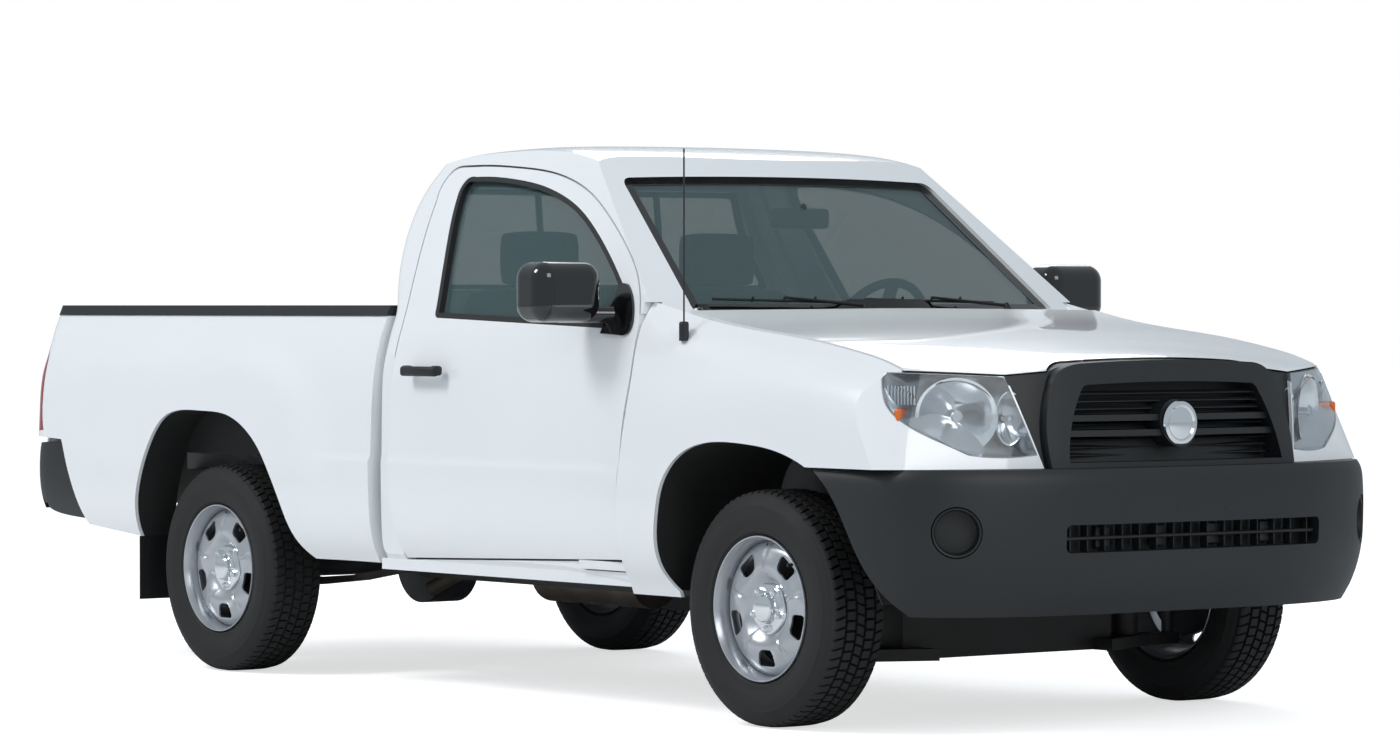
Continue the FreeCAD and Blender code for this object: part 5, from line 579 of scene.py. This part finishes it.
for side, sign in SIDES.items():
    glass = copied(f"door_glass_{side}", lambda face: face.normal.y * sign > 0.6)
    rise, depth = Vector((0, sign * 0.0005, 0)), Vector((0, sign * MOULDING_DEPTH, 0))
    band = rim_band(glass, MOULDING_WIDTH, rise, depth)
    piece(f"window_moulding_{side}", band, finishes["black_rubber"], f"door_{side}", angle=40)
screen = copied("windshield", lambda face: face.normal.x > 0.3)
band = rim_band(screen, PRINT_WIDTH, Vector((0.0006, 0, 0.0006)), Vector((0.0010, 0, 0.0010)))
piece("windshield_edge_print", band, edge_print, "chassis", angle=40)
pane = copied("rear_window", lambda face: face.normal.x < -0.5)
band = rim_band(pane, SEAL_WIDTH, Vector((-0.0006, 0, 0)), Vector((-SEAL_DEPTH, 0, 0)))
piece("rear_window_seal", band, finishes["black_rubber"], "chassis", angle=40)


# Door handles, and the plates that close the sill under the front corner of each door

DOOR_SKIN = 0.904
GRIP_SPAN, GRIP_CENTRE, GRIP_DROP, GRIP_BEND = (0.185, 0.020, 0.030), (-0.020, 0.026, 0.980), 0.004, 0.012
POST_SPAN, POST_PLACES, POST_HEIGHT = (0.034, 0.030, 0.030), (-0.095, 0.056), 0.979
LOCK_X, LOCK_RADIUS = 0.052, 0.009
SILL_PLATE_SPAN, SILL_PLATE_CENTRE = (0.228, 0.030, 0.026), (0.851, 0.870, 0.425)


def door_handle(side, sign):
    """Bowed grip on two posts, with the lock's round cap."""
    bm = bmesh.new()
    grip = rounded(bm, (0, 0, 0), GRIP_SPAN, 0.0095, 4)
    for vert in grip:
        share = vert.co.x / (GRIP_SPAN[0] / 2)
        vert.co.z -= GRIP_DROP * share ** 2
        vert.co.y -= GRIP_BEND * sign * share ** 4
    x, out, height = GRIP_CENTRE
    bmesh.ops.translate(bm, vec=(x, (DOOR_SKIN + out) * sign, height), verts=grip)
    for x in POST_PLACES:
        rounded(bm, (x, (DOOR_SKIN + 0.008) * sign, POST_HEIGHT), POST_SPAN, 0.009, 3)
    bar(bm, (LOCK_X, (DOOR_SKIN + 0.020) * sign, height), (LOCK_X, (DOOR_SKIN + out) * sign, height),
        LOCK_RADIUS, 20)
    piece(f"door_handle_{side}", bm, finishes["black_plastic"], f"door_{side}", angle=35)


for side, sign in SIDES.items():
    door_handle(side, sign)
for side, sign in SIDES.items():
    bm = bmesh.new()
    rounded(bm, beside(SILL_PLATE_CENTRE, sign), SILL_PLATE_SPAN, 0.003, 2)
    piece(f"sill_plate_{side}", bm, finishes["body_paint"], "chassis")


# Seat: crowned cushions with sewn channels

BACK_HALF_DEPTH = 0.062
HEADREST_INNER, HEADREST_OUTER, HEADREST_MIDDLE = 0.219, 0.483, 0.351
POST_HALF_GAP, POST_RADIUS, POST_BELOW, POST_ABOVE = 0.06, 0.006, 0.060, 0.040


def cushion(name, node, low, high, groove, draw, taper=0.0, lean=0.0):
    """Crowned pad in a box: its sides draw in between the corners, sewn grooves run across its face.

    groove is the axis of the face, the lines as shares of the half width, their width share and their depth.
    """
    centre, span = (low + high) / 2, high - low
    axis, lines, wide, deep = groove
    on_face = 0.99
    bm = bmesh.new()
    bmesh.ops.create_cube(bm, size=1.0)
    bmesh.ops.subdivide_edges(bm, edges=bm.edges[:], cuts=23, use_grid_fill=True)
    for vert in bm.verts:
        unit = vert.co * 2
        away = [abs(v) for v in unit]
        for index in range(3):
            others = [away[other] for other in range(3) if other != index]
            if away[index] > on_face:
                vert.co[index] *= 1 - draw * (others[0] ** 4 + others[1] ** 4) / 2
        if away[axis] > on_face:
            dent = sum(math.exp(-((unit[1] - line) / wide) ** 2) for line in lines)
            vert.co[axis] -= math.copysign(deep / span[axis] * dent, unit[axis])
    for vert in bm.verts:
        vert.co.x *= 1 - taper * vert.co.z
        vert.co = Vector([vert.co[index] * span[index] for index in range(3)]) + centre
        vert.co.x += lean * (vert.co.z - centre.z)
    obj = piece(name, bm, finishes["seat_fabric"], "chassis", angle=70)
    smooth = obj.modifiers.new("smooth", "SUBSURF")
    smooth.levels = smooth.render_levels = 1
    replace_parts(obj, node)


low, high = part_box("seat_cushion")
cushion("seat_base_pad", "seat_cushion", low, high, (2, (-0.62, -0.40, 0.0, 0.40, 0.62), 0.022, 0.009), 0.20)
low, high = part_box("seat_back")
middle = (low.x + high.x) / 2
low = Vector((middle - BACK_HALF_DEPTH, low.y, low.z))
high = Vector((middle + BACK_HALF_DEPTH, high.y, high.z))
cushion("seat_back_pad", "seat_back", low, high, (0, (-0.72, -0.30, 0.0, 0.30, 0.72), 0.022, 0.008), 0.16,
        taper=0.45, lean=-0.09)
low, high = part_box("headrests")
middle = (low.x + high.x) / 2
for side, sign in SIDES.items():
    right, left = sorted((sign * HEADREST_INNER, sign * HEADREST_OUTER))
    pad_low, pad_high = Vector((low.x, right, low.z)), Vector((high.x, left, high.z))
    cushion(f"headrest_pad_{side}", "headrests", pad_low, pad_high, (0, (-0.55, 0.55), 0.05, 0.004), 0.26)
    bm = bmesh.new()
    for gap in (-POST_HALF_GAP, POST_HALF_GAP):
        y = sign * HEADREST_MIDDLE + gap
        bar(bm, (middle, y, low.z - POST_BELOW), (middle, y, low.z + POST_ABOVE), POST_RADIUS, 16)
    piece(f"headrest_posts_{side}", bm, chrome, "chassis")


# Windshield furniture: wipers, inside mirror, window dividers

GLASS_FOOT_X, GLASS_FOOT_Z, GLASS_HALF, GLASS_SWEEP, GLASS_SLOPE = 1.086, 1.160, 0.693, 0.060, 1.256
# Wiper pivots and tips, across the truck
WIPERS = {"passenger": (-0.115, -0.610), "driver": (0.460, -0.075)}
BLADE_SHARES, CLIP_SHARES, ARM_SHARE = (0.04, 0.34, 0.67, 1.0), (0.30, 0.52, 0.74), 0.52
MIRROR_CENTRE, MIRROR_SPAN = (0.668, 0.0, 1.438), (0.034, 0.215, 0.062)
MIRROR_GLASS_CENTRE, MIRROR_GLASS_SPAN = (0.6505, 0.0, 1.438), (0.002, 0.200, 0.050)
DIVIDER_PLACES, DIVIDER_SPAN = (-0.235, 0.235), (0.014, 0.020, 0.310)
DIVIDER_X, DIVIDER_Z, DIVIDER_LEAN = -0.334, 1.385, -0.105


def on_glass(y, z, out):
    """A point a little outside the windshield."""
    x = GLASS_FOOT_X - GLASS_SWEEP * (y / GLASS_HALF) ** 2 - GLASS_SLOPE * (z - GLASS_FOOT_Z)
    return Vector((x + out, y, z + out * 0.8))


def wiper(name, pivot, tip):
    """Pivot cap, arm, blade in three bars and the clips between them."""
    reach = tip - pivot
    bm = bmesh.new()
    bar(bm, on_glass(pivot, 1.146, 0.020), on_glass(pivot, 1.160, 0.026), 0.011, 20, 0.008)
    elbow = on_glass(pivot + reach * ARM_SHARE, 1.186, 0.017)
    bar(bm, on_glass(pivot, 1.158, 0.022), elbow, 0.0055, 12, 0.004)
    ends = [on_glass(pivot + reach * share, 1.176 + 0.010 * share, 0.010) for share in BLADE_SHARES]
    for start, end in zip(ends, ends[1:]):
        bar(bm, start, end, 0.0042, 10)
    for share in CLIP_SHARES:
        y = pivot + reach * share
        bar(bm, on_glass(y, 1.181, 0.006), on_glass(y, 1.185, 0.020), 0.0035, 8)
    piece(f"wiper_{name}", bm, finishes["black_rubber"], "chassis")


for name, (pivot, tip) in WIPERS.items():
    wiper(name, pivot, tip)
bm = bmesh.new()
rounded(bm, MIRROR_CENTRE, MIRROR_SPAN, 0.014, 4)
bar(bm, (0.672, 0.0, 1.462), (0.690, 0.0, 1.476), 0.009, 16)
piece("inside_mirror", bm, finishes["dash_plastic"], "chassis")
bm = bmesh.new()
rounded(bm, MIRROR_GLASS_CENTRE, MIRROR_GLASS_SPAN, 0.0008, 1)
piece("inside_mirror_glass", bm, chrome, "chassis")
bm = bmesh.new()
for y in DIVIDER_PLACES:
    rounded(bm, (DIVIDER_X, y, DIVIDER_Z), DIVIDER_SPAN, 0.004, 2, Matrix.Rotation(DIVIDER_LEAN, 4, "Y"))
piece("rear_window_dividers", bm, finishes["black_rubber"], "chassis")


# Front: boss cap, louvers, bumper slot bars and recess rings

BOSS_CAP = [
    (0.0, 0.058), (-0.004, 0.0625), (-0.009, 0.0600), (-0.011, 0.0500), (-0.008, 0.0440), (-0.012, 0.0300),
    (-0.014, 0.0)]
BOSS_FACE = (2.325, 0, 0.851)
LOUVER_COUNT, LOUVER_X, LOUVER_LOW, LOUVER_STEP, LOUVER_TILT = 9, 2.262, 0.768, 0.021, 0.35
LOUVER_DEPTH, LOUVER_WALL = 0.022, 0.0040
OPENING_HALF, OPENING_NARROWS, OPENING_SHOULDER = 0.385, 0.30, 0.80
SLOT_Z, SLOT_BAR_X, SLOT_BAR_HALF, SLOT_BAR_RADIUS = 0.545, 2.372, 0.468, 0.0055
FIN_COUNT, FIN_START, FIN_STEP, FIN_X, FIN_SPAN = 15, -0.448, 0.064, 2.358, (0.030, 0.0040, 0.074)
BRACKET_PLACES, BRACKET_X, BRACKET_SPAN = (-0.310, -0.105, 0.105, 0.310), 2.346, (0.014, 0.052, 0.056)
SCREW_PLACES, SCREW_X, SCREW_END, SCREW_Z = (-0.089, 0.089), 2.412, 2.4175, 0.616
RECESS_CENTRE, RECESS_TURN = (2.278 - 0.014, 0.770 - 0.011, 0.566), 37
RECESS_RING = [
    (0.012, 0.0690), (-0.004, 0.0690), (-0.008, 0.0660), (-0.006, 0.0620), (0.012, 0.0600), (0.040, 0.0560),
    (0.044, 0.0200), (0.044, 0.0)]

forwards = Matrix.Rotation(math.pi / 2, 4, "Z")
piece("boss_cap", turned(BOSS_CAP, 64, Matrix.Translation(BOSS_FACE) @ forwards), chrome, "chassis")
bm = bmesh.new()
for index in range(LOUVER_COUNT):
    z = LOUVER_LOW + LOUVER_STEP * index
    half = OPENING_HALF - OPENING_NARROWS * max(z - OPENING_SHOULDER, 0)
    rounded(bm, (LOUVER_X, 0, z), (LOUVER_DEPTH, 2 * half, LOUVER_WALL), 0.0018, 1,
            Matrix.Rotation(LOUVER_TILT, 4, "Y"))
piece("grille_louvers", bm, finishes["black_plastic"], "chassis")
bm = bmesh.new()
bar(bm, (SLOT_BAR_X, -SLOT_BAR_HALF, SLOT_Z), (SLOT_BAR_X, SLOT_BAR_HALF, SLOT_Z), SLOT_BAR_RADIUS, 12)
for index in range(FIN_COUNT):
    rounded(bm, (FIN_X, FIN_START + FIN_STEP * index, SLOT_Z), FIN_SPAN, 0.001, 1)
piece("bumper_slot_bars", bm, finishes["black_plastic"], "chassis")
bm = bmesh.new()
for y in BRACKET_PLACES:
    rounded(bm, (BRACKET_X, y, SLOT_Z), BRACKET_SPAN, 0.004, 2)
piece("bumper_brackets", bm, finishes["cast_metal"], "chassis")
bm = bmesh.new()
for y in SCREW_PLACES:
    bar(bm, (SCREW_X, y, SCREW_Z), (SCREW_END, y, SCREW_Z), 0.0085, 20, 0.0070)
piece("plate_screws", bm, finishes["black_rubber"], "chassis")
for side, sign in SIDES.items():
    turn = Matrix.Rotation(math.pi / 2 + sign * math.radians(RECESS_TURN), 4, "Z")
    ring = turned(RECESS_RING, 56, Matrix.Translation(beside(RECESS_CENTRE, sign)) @ turn)
    piece(f"recess_ring_{side}", ring, finishes["black_plastic"], "chassis")


# Dashboard: vents with slats, middle panel with three knobs, gauge hood

VENT_PLACES, VENT_Z, VENT_SPAN = (-0.560, -0.110, 0.110, 0.600), 1.045, (0.018, 0.105, 0.062)
SLAT_COUNT, SLAT_LOW, SLAT_STEP, SLAT_SPAN = 4, 1.024, 0.014, (0.010, 0.090, 0.0035)
PANEL_Z, PANEL_SPAN = 0.905, (0.020, 0.215, 0.170)
KNOB_PLACES, KNOB_Z, KNOB_RADIUS = (-0.070, 0.0, 0.070), 0.855, 0.017
HOOD_PLACE, HOOD_SPAN = (0.045, 0.365, 0.004), (0.150, 0.330, 0.060)

dash_low, dash_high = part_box("dashboard")
bm = bmesh.new()
for y in VENT_PLACES:
    rounded(bm, (dash_low.x + 0.004, y, VENT_Z), VENT_SPAN, 0.010, 3)
    for index in range(SLAT_COUNT):
        rounded(bm, (dash_low.x - 0.004, y, SLAT_LOW + SLAT_STEP * index), SLAT_SPAN, 0.001, 1)
rounded(bm, (dash_low.x + 0.006, 0.0, PANEL_Z), PANEL_SPAN, 0.012, 3)
for y in KNOB_PLACES:
    bar(bm, (dash_low.x - 0.022, y, KNOB_Z), (dash_low.x + 0.004, y, KNOB_Z), KNOB_RADIUS, 28)
behind, y, above = HOOD_PLACE
rounded(bm, (dash_low.x + behind, y, dash_high.z + above), HOOD_SPAN, 0.026, 4)
piece("dash_details", bm, finishes["dash_plastic"], "chassis")


# Bed ribs and tailgate handle

RIB_COUNT, RIB_START, RIB_STEP = 11, -0.450, 0.090
RIB_X, RIB_Z, RIB_SPAN = -1.2985, 0.7195, (1.830, 0.042, 0.010)
# Plate and grip of the handle, as centre, span and edge radius
GATE_HANDLE = [
    ((-2.310, 0, 1.020), (0.012, 0.300, 0.105), 0.005, 3),
    ((-2.320, 0, 1.034), (0.018, 0.210, 0.034), 0.008, 4)]

bm = bmesh.new()
for index in range(RIB_COUNT):
    rounded(bm, (RIB_X, RIB_START + RIB_STEP * index, RIB_Z), RIB_SPAN, 0.004, 2)
piece("bed_floor_ribs", bm, finishes["body_paint"], "chassis")
bm = bmesh.new()
for centre, span, radius, segments in GATE_HANDLE:
    rounded(bm, centre, span, radius, segments)
piece("tailgate_handle", bm, finishes["black_plastic"], "tailgate")


# Spare wheel, lying flat under the bed

SPARE_CENTRE, SPARE_WIDTH_SHARE = (-1.962, 0, 0.405), 0.9

stowed = (Matrix.Translation(SPARE_CENTRE) @ Matrix.Rotation(math.pi / 2, 4, "X")
          @ Matrix.Diagonal((1, SPARE_WIDTH_SHARE, 1, 1)))
spare_tyre = piece("spare_tyre", tyre_form(stowed), finishes["tyre_rubber"], "chassis", angle=28)
spare_rim = piece("spare_rim", turned(RIM_OUT, 96, stowed), finishes["wheel_silver"], "chassis", angle=28)
mesh = disc_mesh.copy()
mesh.transform(stowed)
for obj in (spare_tyre, spare_rim, placed("spare_disc", mesh, "chassis")):
    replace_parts(obj, "spare_tyre")


# Floor, light and camera

FLOOR_HALF, FLOOR_GLOW, SKY_STRENGTH = 60.0, 0.66, 0.62
# Soft lamps as place, aim, size and power
LAMPS = {
    "key": ((-2.5, -7.5, 8.0), (0.3, 0.0, 0.8), 3.0, 440),
    "fill": ((9.5, -1.5, 5.0), (1.0, 0.0, 0.9), 4.0, 210),
    "back": ((-6.0, 6.0, 6.5), (-0.5, 0.0, 0.9), 4.0, 160)}
CAMERA_PLACE, YAW, PITCH = (12.4237, -9.5878, 1.1736), 2.47728, -0.012738
FOCAL_LENGTH, SENSOR_WIDTH, VIEW_DEPTH = 129.1, 36.0, 200.0


def studio_floor():
    """White paper floor that keeps the truck's shadow and melts into the white background."""
    bm = bmesh.new()
    bmesh.ops.create_grid(bm, x_segments=2, y_segments=2, size=FLOOR_HALF)
    mesh = bpy.data.meshes.new("studio_floor")
    bm.to_mesh(mesh)
    bm.free()
    paper = bpy.data.materials.new("white_studio_floor")
    paper.use_nodes = True
    tree = paper.node_tree
    tree.nodes.remove(tree.nodes["Principled BSDF"])
    seen = add(tree, "ShaderNodeLightPath", {}, {}).outputs["Is Camera Ray"]
    matt = add(tree, "ShaderNodeBsdfDiffuse", {"Color": linear("EDEDED")}, {})
    lift = add(tree, "ShaderNodeMath", {"operation": "MULTIPLY", 1: FLOOR_GLOW}, {0: seen})
    glow = add(tree, "ShaderNodeEmission", {"Color": linear("FFFFFF")}, {"Strength": lift.outputs["Value"]})
    both = add(tree, "ShaderNodeAddShader", {}, {0: matt.outputs["BSDF"], 1: glow.outputs["Emission"]})
    tree.links.new(both.outputs["Shader"], tree.nodes["Material Output"].inputs["Surface"])
    mesh.materials.append(paper)
    floor = bpy.data.objects.new("studio_floor", mesh)
    scene.collection.objects.link(floor)


def studio_sky():
    """White for the camera, a soft pale blue light for everything else."""
    world = bpy.data.worlds.new("studio")
    scene.world = world
    world.use_nodes = True
    sky = world.node_tree
    plain = sky.nodes["Background"]
    plain.inputs["Color"].default_value = linear("FFFFFF")
    plain.inputs["Strength"].default_value = 1.0
    ray = add(sky, "ShaderNodeLightPath", {}, {}).outputs["Is Camera Ray"]
    around = add(sky, "ShaderNodeBackground", {"Color": linear("DCE6EE"), "Strength": SKY_STRENGTH}, {})
    pick = add(sky, "ShaderNodeMixShader", {}, {
        0: ray, 1: around.outputs["Background"], 2: plain.outputs["Background"]})
    sky.links.new(pick.outputs["Shader"], sky.nodes["World Output"].inputs["Surface"])


studio_floor()
studio_sky()
for name, (spot, aim, across, power) in LAMPS.items():
    lamp = bpy.data.lights.new(name, "AREA")
    lamp.size, lamp.energy = across, power
    obj = bpy.data.objects.new(name, lamp)
    obj.location = spot
    obj.rotation_euler = (Vector(aim) - Vector(spot)).to_track_quat("-Z", "Y").to_euler()
    scene.collection.objects.link(obj)

lens_data = bpy.data.cameras.new("camera")
lens_data.lens, lens_data.sensor_width, lens_data.clip_end = FOCAL_LENGTH, SENSOR_WIDTH, VIEW_DEPTH
camera = bpy.data.objects.new("camera", lens_data)
camera.location = CAMERA_PLACE
camera.rotation_mode = "QUATERNION"
looking = Vector((math.cos(YAW) * math.cos(PITCH), math.sin(YAW) * math.cos(PITCH), math.sin(PITCH)))
camera.rotation_quaternion = looking.to_track_quat("-Z", "Y")
scene.collection.objects.link(camera)
scene.camera = camera
scene.view_settings.view_transform = "Standard"
